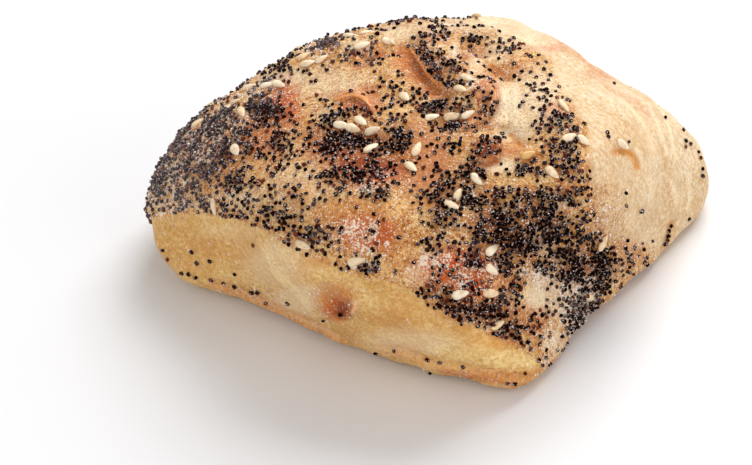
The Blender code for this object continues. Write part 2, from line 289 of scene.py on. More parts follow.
POPPY_HIDDEN_SIDE = 0.5

# Patches where hardly any seed lies
BARE_PATCHES = (
    (298, 92, 26, 12, 1.0), (344, 80, 30, 12, 0.9), (330, 92, 26, 6, 0.9), (354, 95, 16, 4, 0.9),
    (471, 62, 9, 12, 1.0), (475, 53, 10, 4, 0.9), (498, 69, 12, 6, 0.9), (453, 46, 9, 7, 0.9),
    (508, 92, 13, 26, 1.0), (506, 122, 18, 10, 0.9), (514, 146, 14, 10, 1.0), (490, 168, 14, 5, 0.7),
    (400, 236, 16, 32, 0.9), (350, 212, 26, 10, 0.8), (410, 182, 14, 14, 0.6), (470, 216, 8, 7, 0.8),
    (533, 280, 11, 10, 0.9), (538, 298, 9, 13, 0.85), (554, 338, 7, 14, 0.5), (515, 24, 40, 8, 1.0),
    (466, 24, 22, 6, 0.85), (398, 40, 12, 12, 0.8), (544, 56, 10, 9, 0.9), (320, 190, 10, 9, 0.7),
    (380, 50, 8, 8, 0.6), (260, 170, 9, 9, 0.6), (478, 290, 7, 6, 0.4), (546, 252, 9, 7, 0.3),
    (550, 324, 8, 8, 0.4), (286, 228, 8, 7, 0.4), (384, 278, 8, 7, 0.5),
)

# Outline of the clear hollow beside the flap's torn lip
CLEAR_OUTLINE = (
    (398, 46), (411, 47), (419, 58), (426, 67), (433, 76), (441, 84), (452, 90), (462, 97), (450, 100),
    (436, 96), (422, 92), (410, 82), (400, 66),
)

# Stray seeds one by one on the cut front and on the pale slope
STRAY_SEEDS = (
    (163, 250), (168, 259), (182, 273), (189, 274), (196, 277), (211, 280), (224, 283), (235, 286),
    (252, 292), (258, 292), (266, 303), (288, 303), (254, 245), (197, 263), (210, 261), (235, 274),
    (192, 252), (340, 314), (324, 320), (376, 353), (395, 351), (428, 359), (440, 362), (463, 367),
    (430, 372), (508, 383), (515, 383), (525, 373), (538, 360), (557, 350), (614, 84), (607, 133),
    (608, 137), (628, 142), (625, 193), (626, 206), (641, 211), (652, 241), (642, 243), (643, 249),
    (613, 247), (614, 254), (627, 240), (628, 258), (644, 262), (633, 274), (640, 275), (689, 219),
    (671, 226), (669, 231), (668, 236), (667, 240), (665, 244), (665, 118), (683, 130), (685, 141),
    (690, 144), (685, 147), (698, 152), (700, 158), (702, 169), (702, 176), (641, 91), (651, 97),
    (515, 77), (550, 76), (546, 63), (543, 85), (569, 101), (572, 115), (584, 124),
)

# Sesame seeds: x, y, turn of the seed's long axis in the picture in degrees, length in millimetres
SESAME_PLACES = (
    (342, 126, -12, 3.3), (353, 129, -18, 3.1), (361, 122, -40, 2.9), (373, 131, 18, 3.1),
    (371, 149, 22, 3.3), (417, 150, 62, 3.3), (405, 98, -48, 3.1), (432, 118, 8, 2.9), (452, 117, 14, 3.4),
    (468, 115, 30, 3.0), (467, 79, -32, 3.4), (461, 90, -24, 2.8), (457, 195, 64, 2.6),
    (451, 206, -28, 3.5), (476, 180, -46, 2.9), (552, 173, -44, 3.2), (411, 168, -44, 2.7),
    (351, 37, -8, 3.2), (388, 42, -16, 2.9), (308, 64, 16, 3.0), (304, 57, 28, 2.8), (322, 60, 24, 2.9),
    (446, 27, 6, 3.0), (528, 155, 22, 3.1), (583, 141, -34, 3.1), (569, 138, 26, 3.0), (563, 107, -52, 2.9),
    (622, 145, -34, 3.2), (602, 243, 62, 3.5), (491, 250, 38, 2.9), (491, 270, -40, 2.8),
    (460, 294, 14, 3.4), (490, 293, -4, 3.0), (588, 297, -14, 4.0), (497, 324, 34, 2.7),
    (215, 207, -76, 3.6), (236, 151, -62, 3.0), (304, 245, -24, 3.0), (357, 261, 12, 3.6),
    (242, 113, -62, 3.1), (236, 103, 10, 3.0), (250, 88, 14, 2.8), (198, 124, 48, 2.8), (268, 86, 8, 2.9),
    (279, 85, -20, 2.7), (229, 109, 50, 2.9), (362, 46, 14, 3.5),
)

# Patches of each tint of the crust, of flour, and of the poppy seeds' powdery film, partly a painted sheen
RUDDY_PATCHES = (
    (282, 104, 17, 24, 0.9), (258, 136, 26, 24, 0.6), (210, 150, 34, 36, 0.4), (356, 106, 16, 5, 0.9),
    (352, 94, 16, 5, 0.4), (368, 108, 7, 8, 0.85), (346, 146, 38, 18, 0.8), (365, 170, 36, 17, 0.95),
    (470, 292, 16, 10, 0.8), (434, 36, 20, 10, 0.3), (432, 66, 14, 14, 0.6), (486, 92, 12, 14, 0.85),
    (628, 254, 18, 12, 0.2), (488, 150, 14, 10, 1.0), (516, 66, 8, 6, 0.4), (366, 234, 30, 18, 0.8),
    (338, 309, 13, 10, 0.6), (460, 270, 38, 22, 1.0), (532, 322, 12, 14, 0.5), (508, 284, 12, 9, 0.4),
    (482, 308, 42, 10, 0.55), (558, 110, 14, 8, 0.5), (560, 48, 30, 4, 0.4), (612, 74, 26, 6, 0.45),
    (480, 288, 14, 10, 1.0), (522, 28, 24, 9, 0.22), (548, 34, 16, 8, 0.25),
)
AMBER_PATCHES = (
    (404, 58, 11, 14, 1.0), (334, 301, 18, 15, 0.9), (338, 308, 14, 12, 1.0), (418, 76, 10, 10, 0.8),
    (434, 92, 14, 6, 0.8), (474, 50, 13, 5, 0.5), (466, 62, 4, 10, 0.6), (484, 64, 8, 5, 0.3),
    (528, 156, 8, 6, 1.0), (372, 56, 16, 4, 0.9), (350, 96, 18, 4, 1.0), (370, 98, 8, 14, 0.6),
    (620, 152, 10, 4, 1.0), (386, 236, 9, 16, 0.9), (396, 262, 18, 16, 0.45), (574, 189, 14, 5, 0.6),
    (490, 162, 10, 4, 0.7), (350, 212, 40, 14, 0.6), (300, 124, 12, 14, 0.35), (424, 162, 30, 36, 0.8),
    (496, 341, 22, 8, 0.7), (300, 196, 14, 12, 0.6), (492, 196, 10, 10, 0.6), (588, 244, 10, 10, 0.5),
    (482, 340, 24, 12, 0.35), (512, 152, 12, 8, 0.6), (420, 322, 46, 18, 0.25), (402, 308, 20, 12, 0.35),
    (222, 250, 30, 14, 0.35), (196, 266, 26, 10, 0.25), (318, 262, 16, 8, 0.5), (470, 378, 50, 5, 0.7),
    (616, 160, 40, 40, 0.12), (610, 228, 20, 26, 0.12),
)
SCORCH_PATCHES = (
    (344, 311, 8, 8, 0.9), (252, 132, 28, 26, 0.15), (492, 244, 12, 10, 0.6), (346, 144, 36, 18, 0.75),
    (362, 166, 38, 16, 0.6), (400, 138, 16, 16, 0.65), (420, 68, 8, 10, 0.3), (470, 172, 16, 13, 0.65),
    # The last patch on the line below is painted shadow under the flap's rounded end
    (488, 146, 12, 8, 0.45), (456, 196, 28, 15, 0.65), (448, 222, 24, 12, 0.5), (470, 126, 26, 5, 0.6),
    (444, 116, 20, 10, 0.3), (494, 224, 26, 18, 0.95), (518, 243, 28, 16, 0.9), (586, 268, 30, 20, 0.85),
    (540, 200, 30, 12, 0.6), (542, 222, 26, 12, 0.85), (566, 148, 16, 34, 0.25), (560, 245, 55, 36, 0.45),
    (482, 314, 34, 10, 0.5), (284, 214, 26, 14, 0.2), (432, 160, 28, 44, 0.3),
)
PALE_PATCHES = (
    (507, 102, 17, 24, 0.95), (500, 164, 18, 8, 0.8), (466, 24, 44, 8, 0.6), (520, 34, 30, 14, 0.6),
    (476, 62, 8, 10, 0.9), (476, 52, 13, 6, 0.9), (456, 50, 6, 8, 0.7), (400, 34, 18, 9, 0.7),
    (324, 82, 40, 14, 0.5), (360, 46, 14, 6, 0.8), (286, 78, 26, 10, 0.7), (276, 266, 30, 24, 0.35),
    (236, 232, 34, 8, 0.15), (614, 216, 18, 24, 0.4), (410, 342, 40, 12, 0.45), (298, 300, 30, 16, 0.5),
    (336, 232, 28, 26, 0.1), (420, 274, 14, 10, 0.5), (424, 28, 24, 7, 0.6), (496, 54, 14, 10, 0.5),
    (564, 296, 18, 24, 0.6), (540, 244, 12, 10, 0.5), (540, 98, 24, 26, 0.7), (518, 124, 16, 14, 0.7),
    (548, 124, 20, 12, 0.3), (180, 160, 30, 44, 0.2), (560, 200, 12, 9, 0.5), (537, 296, 12, 16, 0.8),
    (514, 134, 16, 7, 1.0), (484, 88, 7, 10, 0.4), (556, 344, 12, 14, 0.4), (300, 190, 30, 26, 0.35),
    (244, 196, 22, 12, 0.35),
)
FLOUR_PATCHES = (
    (356, 234, 26, 20, 0.7), (376, 250, 16, 12, 0.6), (356, 264, 14, 5, 0.9), (434, 262, 24, 14, 0.75),
    (456, 276, 26, 16, 0.6), (491, 270, 8, 8, 1.0), (486, 290, 14, 5, 0.6), (530, 272, 10, 10, 0.7),
    (540, 276, 13, 12, 0.9), (556, 294, 10, 16, 0.7), (552, 340, 10, 14, 0.8), (588, 282, 12, 8, 0.7),
    (582, 298, 18, 14, 0.95), (564, 294, 10, 12, 0.9), (576, 312, 18, 24, 1.0), (545, 362, 8, 12, 0.6),
    (318, 50, 26, 8, 0.6), (360, 46, 12, 6, 0.6), (256, 94, 24, 8, 0.7), (278, 82, 16, 6, 0.7),
    (168, 186, 22, 42, 0.85), (200, 136, 32, 34, 0.8), (228, 118, 28, 20, 0.7), (470, 82, 12, 9, 0.8),
    (471, 34, 8, 3, 0.9), (326, 112, 12, 5, 0.5), (440, 50, 24, 22, 0.4), (390, 186, 26, 12, 0.4),
    (364, 188, 14, 6, 0.8), (456, 200, 20, 14, 0.3), (618, 222, 26, 22, 0.2), (220, 200, 24, 12, 0.45),
    (560, 262, 20, 10, 0.15), (412, 168, 6, 6, 0.9),
)
FILM_AND_SHEEN_PATCHES = (
    (180, 170, 40, 60, 0.85), (214, 130, 34, 36, 0.55), (260, 92, 20, 12, 0.8), (332, 46, 22, 8, 0.9),
)

# Tints along lines: pixels they run through, half width in pixels, strength
TINT_LINES = {
    "ruddy": (
        (((536, 26), (560, 42), (580, 57), (592, 68), (606, 78), (624, 84)), 3.0, 0.4),
        (((590, 74), (606, 88), (622, 96), (636, 102), (648, 114), (654, 126)), 4.0, 0.28),
        (((560, 352), (540, 382), (520, 386), (490, 380), (460, 375), (430, 368)), 3.5, 0.45),
        (((350, 344), (325, 333), (300, 322), (280, 312), (250, 298), (225, 287), (200, 281)), 3.0, 0.35),
        # painted shadow, red-brown, under the edge of the flap's rounded end
        (((440, 120), (462, 121), (478, 116), (490, 110)), 3.0, 0.7),
    ),
    "amber": (
        (((622, 148), (630, 154), (635, 162), (638, 172)), 5.0, 1.0),
        (((672, 218), (670, 232), (666, 246), (658, 258)), 4.0, 0.8),
        (GROOVE, 3.0, 0.3),
        (((640, 118), (648, 138), (652, 160)), 4.0, 0.22),
        (((466, 50), (472, 60), (480, 72)), 3.0, 0.5),
        (((487, 64), (497, 69), (505, 75), (514, 79)), 3.6, 1.0),
        (((508, 133), (515, 140), (523, 149)), 4.0, 1.0),
        (((548, 366), (532, 374), (508, 377), (484, 374), (462, 369)), 3.5, 0.7),
    ),
    "pale": (
        (((634, 146), (640, 156), (643, 170)), 2.0, 0.9),
        (LEFT_RIB, 2.0, 0.6),
        (RIGHT_RIB, 2.0, 0.6),
        (((646, 104), (656, 120), (664, 140), (668, 160)), 2.0, 0.5),
        (((664, 168), (674, 190), (678, 208)), 2.5, 0.5),
        (((688, 172), (690, 196), (687, 212)), 2.0, 0.6),
        (((505, 128), (513, 133), (520, 138), (526, 146)), 2.0, 0.9),
        (((356, 300), (354, 308), (351, 315)), 2.2, 1.0),
        (((350, 341), (325, 329), (300, 318), (280, 308), (250, 294), (225, 283)), 1.6, 0.5),
    ),
}

# Patches that are grainy though bare
GRAINY_PATCHES = (
    (606, 218, 20, 30, 1.0), (630, 256, 22, 14, 0.8), (334, 302, 24, 18, 0.8), (250, 292, 60, 8, 0.4),
    (480, 376, 60, 8, 0.5),
)

# Noise on the crust's form, seeds and tints: height, lump size in millimetres, number of the pattern
PEBBLES = ((0.18, 3.1, 1), (0.14, 1.4, 2))
SMOOTH_WAVES = ((0.10, 5.5, 3), (0.05, 1.8, 4))
FOOT_WAVE = (0.4, 2.4, 5)
FOOT_HEIGHT_MM = 4
FURROWS = (0.16, 1.7, 6)
FURROW_STRETCH = 0.9
LIP_WAVES = ((0.3, 1.1, 11),)
TINT_MOTTLE = ((0.5, 7.0, 7),)
POPPY_MOTTLE = ((0.75, 9.0, 8),)
POPPY_CLUSTERS = ((0.45, 2.6, 9),)
PULLED_ALONG = (0.62, -0.68, -0.38)

# Shares of a way over which folds, tint lines and lips fade at both ends, and the steps along a lip
FOLD_TAPER = 0.14
LINE_TAPER = 0.12
LIP_TAPER = 0.25
LIP_STEP_PIXELS = 1.5

# How sharply what faces the camera is told from what faces away, and the least slope a seed is seen at
SEEN_SHARPNESS = 8
LEAST_FACING = 0.25

# Sides that were dipped in seeds and sides that were stretched, and how sharply each ends
DIPPED_SIDES = ("dome", "left slope", "right end", "back left")
STRETCHED_SIDES = ("pale slope",)
DIPPED_SHARPNESS = 25
SLOPE_SHARPNESS = 12

# Fineness of the crust's mesh: cells along a cube's side, and how the cube is flattened and raised
CRUST_CELLS = 126
CUBE_FLATTENING = (1, 1, 0.62)
CUBE_RISE = (0, 0, 0.22)

# Poppy seeds: size, spacing, and lift of the seeds' middles above the crust
POPPY_DIAMETER_MM = 0.9
POPPY_PROPORTIONS = (1.1, 1.0, 0.88)
POPPY_SPACING_MM = 0.8
POPPY_TRIES = 60000
SURFACE_MM2 = 27000
LOWEST_SEED_MM = 2.5
HEAPED_STRENGTH = 0.7
HEAPED_SPACING_MM = 0.84
LAYER_LIFT_MM = (0.05, 0.3)
HEAPED_LIFT_MM = (0.65, 0.9)
STRAY_LIFT_MM = (0.15, 0.3)

# Sesame seeds: width and thickness, the room that each keeps free of poppy, and the hidden ones
SESAME_SIZE_MM = (1.7, 0.95)
LONGEST_SESAME_MM = 3.7
SESAME_LIFT_MM = 0.3
FREE_EDGE_MM = 0.25
FREE_HEIGHT_MM = 2
HIDDEN_SESAME_COUNT = 16
HIDDEN_SESAME_TRIES = 1500
HIDDEN_SESAME_SPACING_MM = 9.0
HIDDEN_SESAME_LENGTH_MM = (2.8, 3.4)
LOWEST_HIDDEN_SESAME_MM = 7

# Grains: how many at most, smallest size, spread of sizes, and lift above the crust
GRAIN_MOST = 32000
GRAIN_SMALLEST_MM = 0.15
GRAIN_SPREAD_MM = 0.42
GRAIN_LIFT_MM = (0.0, 0.14)

# Start of the random draws
RANDOM_SEED = 5

# Lights: name, place, size, power. All look at the roll's middle
LIGHTS = (
    ("window", (0.35, 0.55, 0.75), 0.7, 9.0),
    ("left fill", (-0.5, -0.7, 0.5), 0.8, 2.6),
    ("right fill", (0.6, -0.6, 0.4), 0.6, 2.3),
)
LIGHT_AIM = Vector((0, 0, 0.02))

FLOOR_HALF_MM = 3000


def bearing(azimuth, elevation):
    """Unit vectors towards the bearings: cosines and sines of the two angles."""
    turn = np.radians(azimuth)
    lift = np.radians(elevation)
    return np.stack([np.cos(turn) * np.cos(lift), np.sin(turn) * np.cos(lift), np.sin(lift)], axis=-1)


def unit(vectors):
    """The vectors divided by their lengths."""
    return vectors / np.linalg.norm(vectors, axis=-1, keepdims=True)


def bell(distance, half_width):
    """A bell curve: 1 at no distance, fading past the half width."""
    return np.exp(-(distance / half_width) ** 2)


def tapered(along, reach):
    """0 at both ends of a way, 1 from the reach inwards."""
    return np.clip(np.minimum(along, 1 - along) / reach, 0, 1)


def side_gauges(directions):
    """One over the distance to the dome and to each flat side: the largest is the side that is met."""
    turn = math.radians(DOME_TURN)
    x = directions[:, 0] * math.cos(turn) + directions[:, 1] * math.sin(turn)
    y = directions[:, 1] * math.cos(turn) - directions[:, 0] * math.sin(turn)
    scaled = np.abs(np.stack([x, y, directions[:, 2]], axis=-1)) / DOME_HALF_AXES
    gauges = {"dome": (scaled ** DOME_ROUNDNESS).sum(axis=1) ** (1 / DOME_ROUNDNESS)}
    for name, (azimuth, elevation, distance) in {**UPPER_SIDES, **LOWER_SIDES}.items():
        gauges[name] = np.maximum(directions @ bearing(azimuth, elevation), 0) / distance
    return gauges


def side_share(directions, sides, at_edge, sharpness):
    """1 where one of the named sides is met, 0 where any other is, and a soft edge between them."""
    gauges = side_gauges(directions)
    own = np.max([gauges[name] for name in gauges if name in sides], axis=0)
    others = np.max([gauges[name] for name in gauges if name not in sides], axis=0)
    return np.clip(at_edge + (own / others - 1) * sharpness, 0, 1)


def blend(gauges, sharpness):
    """Rounds the edges between sides: the root of the sum of the gauges' powers."""
    return sum(gauge ** sharpness for gauge in gauges) ** (1 / sharpness)


def dough_radius(directions):
    """Distance from the heart to the dough before its relief: rounded sides plus soft swells."""
    gauges = side_gauges(directions)
    top = blend([gauges["dome"]] + [gauges[name] for name in UPPER_SIDES], UPPER_EDGE_SHARPNESS)
    base = np.maximum(-directions[:, 2], 0) / (HEART[2] + BASE_TRIM)
    radius = 1 / blend([top, base] + [gauges[name] for name in LOWER_SIDES], LOWER_EDGE_SHARPNESS)
    for azimuth, elevation, half_width, height in SWELLS:
        away = directions @ bearing(azimuth, elevation) - 1
        radius = radius + height * np.exp(away / math.radians(half_width) ** 2)
    return radius


def distance_to_path(points, path):
    """Shortest distance from each point to a chain of straight stretches, or to a single point."""
    shortest = np.linalg.norm(points - path[0], axis=1)
    for start, end in zip(path[:-1], path[1:]):
        along = end - start
        share = np.clip((points - start) @ along / (along @ along), 0, 1)
        foot = start + share[:, None] * along
        shortest = np.minimum(shortest, np.linalg.norm(points - foot, axis=1))
    return shortest


def crust_radius(directions):
    """Distance to the crust as it was built: the dough, bell-shaped ridges and hollows, and waves."""
    radius = dough_radius(directions)
    plain = directions * radius[:, None]
    for bearings, half_width, height in RELIEF:
        towards = bearing(*np.transpose(bearings))
        path = towards * dough_radius(towards)[:, None]
        radius = radius + height * bell(distance_to_path(plain, path), half_width)
    for *lengths, height in UNEVENNESS:
        phase = 2 * math.pi * (plain / lengths)
        radius = radius + height * np.sin(phase[:, 0] + phase[:, 1]) * np.cos(phase[:, 2] - phase[:, 1])
    return radius


def to_points(directions, radius):
    """Points at the radii from the heart, in millimetres, levelled off where the roll lies."""
    points = HEART + directions * radius[:, None]
    points[:, 2] = np.maximum(points[:, 2], 0)
    return points


def noise(points, size, pattern):
    """Smooth noise from -1 to 1: random values on a repeating lattice, blended by smoothstep."""
    cells = 32
    lattice = np.random.RandomState(pattern).rand(cells, cells, cells) * 2 - 1
    cell = np.floor(points / size).astype(int)
    share = points / size - cell
    share = share * share * (3 - 2 * share)
    total = 0
    for corner in range(8):
        step = np.array([corner & 1, corner >> 1 & 1, corner >> 2 & 1])
        index = (cell + step) % cells
        weight = np.where(step, share, 1 - share).prod(axis=1)
        total = total + weight * lattice[index[:, 0], index[:, 1], index[:, 2]]
    return total


def waves(points, layers):
    """Layers of smooth noise, one on another."""
    return sum(height * noise(points, size, pattern) for height, size, pattern in layers)


def picture_axes():
    """The camera's right, up and back directions."""
    lift = math.radians(CAMERA_ELEVATION)
    roll = math.radians(CAMERA_ROLL)
    level = np.array([1.0, 0.0, 0.0])
    upward = np.array([0.0, math.sin(lift), math.cos(lift)])
    back = np.array([0.0, -math.cos(lift), math.sin(lift)])
    right = level * math.cos(roll) - upward * math.sin(roll)
    up = level * math.sin(roll) + upward * math.cos(roll)
    return right, up, back


RIGHT, UP, BACK = picture_axes()
CAMERA_PLACE_MM = (np.array(CAMERA_AIM) + BACK * CAMERA_DISTANCE) / MM
FOCAL_PIXELS = LENS / SENSOR_WIDTH * PICTURE_SIZE[0]


def to_picture(points):
    """Pixel coordinates of points in millimetres, by central projection."""
    seen = points - CAMERA_PLACE_MM
    depth = -(seen @ BACK)
    x = PICTURE_SIZE[0] / 2 + FOCAL_PIXELS * (seen @ RIGHT) / depth
    y = PICTURE_SIZE[1] / 2 - FOCAL_PIXELS * (seen @ UP) / depth
    return x, y


def pixel_ray(x, y):
    """Direction from the camera through a pixel."""
    across = (x - PICTURE_SIZE[0] / 2) / FOCAL_PIXELS
    upward = (PICTURE_SIZE[1] / 2 - y) / FOCAL_PIXELS
    return unit(RIGHT * across + UP * upward - BACK)


def place_at(tree, x, y):
    """The point of the crust seen at a pixel, and its normal, or None where the pixel misses it."""
    place, normal, _, _ = tree.ray_cast(Vector(CAMERA_PLACE_MM), Vector(pixel_ray(x, y)))
    if place is None:
        return None
    return np.array(place), np.array(normal)


def places_at(tree, pixels):
    """The points of the crust seen at the pixels and their normals, leaving out pixels that miss it."""
    found = [place_at(tree, x, y) for x, y in pixels]
    found = [spot for spot in found if spot is not None]
    return np.array([place for place, _ in found]), np.array([normal for _, normal in found])


def patch_strength(x, y, patches):
    """The strongest patch at each pixel: full round its middle, falling to 0 at its end."""
    strongest = np.zeros(len(x))
    for centre_x, centre_y, half_width, half_height, strength in patches:
        reach = np.hypot((x - centre_x) / half_width, (y - centre_y) / half_height)
        strongest = np.maximum(strongest, strength * np.clip((PATCH_END - reach) / PATCH_FADE, 0, 1))
    return strongest


def cube_sphere(cells):
    """Directions and quads of a cube's six gridded sides blown up to a sphere, low side pulled in.

    The angle along each side runs evenly, which keeps the cells alike, and shared edges are merged.
    """
    steps = np.arange(cells + 1)
    grid = np.stack(np.meshgrid(steps, steps, indexing="ij"), axis=-1).reshape(-1, 2)
    sides = [np.insert(grid, axis, end, axis=1) for axis in range(3) for end in (0, cells)]
    lattice, index = np.unique(np.concatenate(sides), axis=0, return_inverse=True)
    quads = []
    for side, corner in enumerate(index.reshape(6, cells + 1, cells + 1)):
        ring = (corner[:-1, :-1], corner[1:, :-1], corner[1:, 1:], corner[:-1, 1:])
        facing_in = side in (0, 3, 4)
        ordered = ring[::-1] if facing_in else ring
        quads.append(np.stack(ordered, axis=-1).reshape(-1, 4))
    angle = (lattice / cells * 2 - 1) * math.pi / 4
    directions = np.tan(angle) * CUBE_FLATTENING + CUBE_RISE
    return unit(directions), np.concatenate(quads)


def add_piece(name, points_mm, faces, material, corners=4):
    """A smooth mesh piece from arrays of points in millimetres and of faces."""
    mesh = bpy.data.meshes.new(name)
    mesh.vertices.add(len(points_mm))
    mesh.vertices.foreach_set("co", (points_mm * MM).astype(np.float32).ravel())
    mesh.loops.add(faces.size)
    mesh.loops.foreach_set("vertex_index", faces.astype(np.int32).ravel())
    mesh.polygons.add(len(faces))
    mesh.polygons.foreach_set("loop_start", np.arange(0, faces.size, corners, dtype=np.int32))
    mesh.polygons.foreach_set("use_smooth", np.ones(len(faces), dtype=bool))
    mesh.update()
    mesh.validate()
    mesh.materials.append(material)
    piece = bpy.data.objects.new(name, mesh)
    bpy.context.scene.collection.objects.link(piece)
    return piece


def add_attribute(piece, name, values):
    """A number for each vertex, or for each copy of a shape, that the piece's material reads by name."""
    mesh = piece.data
    layer = mesh.attributes.new(name, "FLOAT", "POINT")
    each = np.repeat(values, len(mesh.vertices) // len(values))
    layer.data.foreach_set("value", each.astype(np.float32))


def diagonal_cross(points, quads):
    """The cross product of each quad's diagonals: along its normal, twice its area long."""
    first = points[quads[:, 2]] - points[quads[:, 0]]
    second = points[quads[:, 3]] - points[quads[:, 1]]
    return np.cross(first, second)


def vertex_normals(points, quads):
    """Unit normals at the vertices: the sum of their faces' normals, weighted by area."""
    across = diagonal_cross(points, quads)
    normals = np.zeros_like(points)
    for corner in range(4):
        np.add.at(normals, quads[:, corner], across)
    return unit(normals + 1e-12)


def make_tree(points, quads):
    """A search tree over the faces, for finding what a pixel shows."""
    return BVHTree.FromPolygons(points.tolist(), quads.tolist())


def seeded_share(points, normals):
    """1 where the roll was dipped in seeds, 0 where it is bare: by the picture, or by its sides if hidden."""
    by_sides = side_share(unit(points - HEART), DIPPED_SIDES, 0.5, DIPPED_SHARPNESS)
    x, y = to_picture(points)
    shown = 1 - np.max([inside_share(x, y, outline, 3.0) for outline in BARE_OUTLINES], axis=0)
    seen = seen_share(points, normals)
    return shown * (seen + by_sides * (1 - seen))


def seen_share(points, normals):
    """1 where the surface faces the camera, 0 where it faces away."""
    towards = unit(CAMERA_PLACE_MM - points)
    return np.clip((normals * towards).sum(axis=1) * SEEN_SHARPNESS, 0, 1)


def lengths_passed(corners):
    """How far along a chain of pixels each of its corners lies."""
    return np.concatenate([[0], np.cumsum(np.hypot(*np.diff(corners, axis=0).T))])


def nearest_stretch(x, y, path):
    """Distance in pixels to a chain of pixels, which side of it (+1 left hand), and how far along, 0 to 1."""
    corners = np.array(path, float)
    steps = np.diff(corners, axis=0)
    lengths = np.hypot(*steps.T)
    passed = lengths_passed(corners)
    shortest = np.full(len(x), np.inf)
    side = np.zeros(len(x))
    along = np.zeros(len(x))
    for start, step, length, before in zip(corners[:-1], steps, lengths, passed[:-1]):
        right, down = x - start[0], y - start[1]
        held = np.clip((right * step[0] + down * step[1]) / length ** 2, 0, 1)
        gap = np.hypot(right - held * step[0], down - held * step[1])
        nearer = gap < shortest
        shortest = np.where(nearer, gap, shortest)
        side = np.where(nearer, np.sign(step[1] * right - step[0] * down), side)
        along = np.where(nearer, (before + held * length) / passed[-1], along)
    return shortest, side, along


def inside_share(x, y, outline, border):
    """1 inside an outline in the picture, 0 outside, with a soft border of the given pixels."""
    closed = list(outline) + [outline[0]]
    crossings = np.zeros(len(x), dtype=int)
    for (x0, y0), (x1, y1) in zip(closed[:-1], closed[1:]):
        if y0 == y1:
            continue
        spans = (y0 > y) != (y1 > y)
        crossings += spans & (x < x0 + (y - y0) * (x1 - x0) / (y1 - y0))
    inside = np.where(crossings % 2 == 1, 1, -1)
    return np.clip(0.5 + inside * nearest_stretch(x, y, closed)[0] / border, 0, 1)


def fold_relief(points, directions, seen):
    """Height that the folds add, how far each spot is a thin lit rim, and how far a shaded hollow.

    Each edge lies where the picture shows it once its skin is raised.
    """
    total = np.zeros(len(points))
    rim_highlight = np.zeros(len(points))
    hollow = np.zeros(len(points))
    for path, height, reach, depth, hollow_reach in FOLDS:
        gap, side, along = nearest_stretch(*to_picture(points + directions * height), path)
        gap = gap / PIXELS_PER_MM
        fade = tapered(along, FOLD_TAPER) * seen
        total += fade * np.where(side > 0, height * bell(gap, reach), -depth * bell(gap, hollow_reach))
        across = gap * side
        # Painted highlight along the fold's raised edge
        lit_edge = min(height, 1.0) * bell(across - 0.5, 0.7)
        # Painted shade in the hollow beside the edge
        shade = depth * bell(across + 0.5 * hollow_reach, 0.6 * hollow_reach)
        rim_highlight = np.maximum(rim_highlight, fade * lit_edge)
        hollow = np.maximum(hollow, fade * shade)
    return total, rim_highlight, hollow


def make_crust_form():
    """Points, normals, quads and marks of the crust: built form, finer ridges, then pebbly unevenness."""
    directions, quads = cube_sphere(CRUST_CELLS)
    radius = crust_radius(directions)
    built = to_points(directions, radius)
    facing = vertex_normals(built, quads)
    tree = make_tree(built, quads)
    for pixels, half_width, height in FINE_RELIEF:
        path, _ = places_at(tree, pixels)
        radius = radius + height * bell(distance_to_path(built, path), half_width)
    # The folds also give where a highlight is painted on their rims, and shade in their hollows
    folded, rim_highlight, hollow = fold_relief(built, directions, seen_share(built, facing))
    seeded = seeded_share(built, facing)
    radius = radius + folded
    radius = radius + seeded * waves(built, PEBBLES) + (1 - seeded) * waves(built, SMOOTH_WAVES)
    radius = radius + stretch_marks(built, directions)
    height, size, pattern = FOOT_WAVE
    near_foot = np.clip(1 - built[:, 2] / FOOT_HEIGHT_MM, 0, 1)
    radius = radius + near_foot * height * noise(built, size, pattern)
    points = to_points(directions, radius)
    marks = {"seeded": seeded, "rim_highlight": rim_highlight, "hollow": hollow}
    return points, vertex_normals(points, quads), quads, marks


def stretch_marks(points, directions):
    """Fine long furrows down the pale slope: noise stretched tenfold along the way the dough was pulled."""
    on_slope = side_share(directions, STRETCHED_SIDES, 0.6, SLOPE_SHARPNESS)
    pulled = unit(np.array(PULLED_ALONG))
    along = points @ pulled
    squeezed = points - FURROW_STRETCH * along[:, None] * pulled
    depth, size, pattern = FURROWS
    return on_slope * depth * noise(squeezed, size, pattern)


def line_strength(x, y, lines):
    """The strongest line at each pixel: full on its path, fading over its half width in pixels."""
    strongest = np.zeros(len(x))
    for path, half_width, strength in lines:
        gap, _, along = nearest_stretch(x, y, path)
        strongest = np.maximum(strongest, strength * tapered(along, LINE_TAPER) * bell(gap, half_width))
    return strongest


def smoothed(values):
    """Rows averaged with the rows beside them, a few times over."""
    for _ in range(4):
        inner = (values[:-2] + 2 * values[1:-1] + values[2:]) / 4
        values = np.concatenate([values[:1], inner, values[-1:]])
    return values


def make_lips(tree):
    """Points and quads of the thin torn lips, which taper towards both ends."""
    lip_points = []
    lip_quads = []
    start = 0
    for path in LIPS:
        corners = np.array(path, float)
        passed = lengths_passed(corners)
        steps = np.linspace(0, passed[-1], int(passed[-1] / LIP_STEP_PIXELS))
        pixels = zip(np.interp(steps, passed, corners[:, 0]), np.interp(steps, passed, corners[:, 1]))
        places, normals = places_at(tree, pixels)
        places = smoothed(places)
        outward = unit(smoothed(normals))
        across = unit(np.cross(np.gradient(places, axis=0), outward))
        size = tapered(np.linspace(0, 1, len(places)), LIP_TAPER) * (1 + waves(places, LIP_WAVES))
        for to_hollow, out in LIP_SECTION:
            lip_points.append(places + size[:, None] * (to_hollow * across + out * outward))
        first = start + np.arange(len(places) - 1)
        for row in range(len(LIP_SECTION) - 1):
            here = first + row * len(places)
            above = here + len(places)
            lip_quads.append(np.stack([here, above, above + 1, here + 1], axis=1))
        start += len(LIP_SECTION) * len(places)
    return np.concatenate(lip_points), np.concatenate(lip_quads)


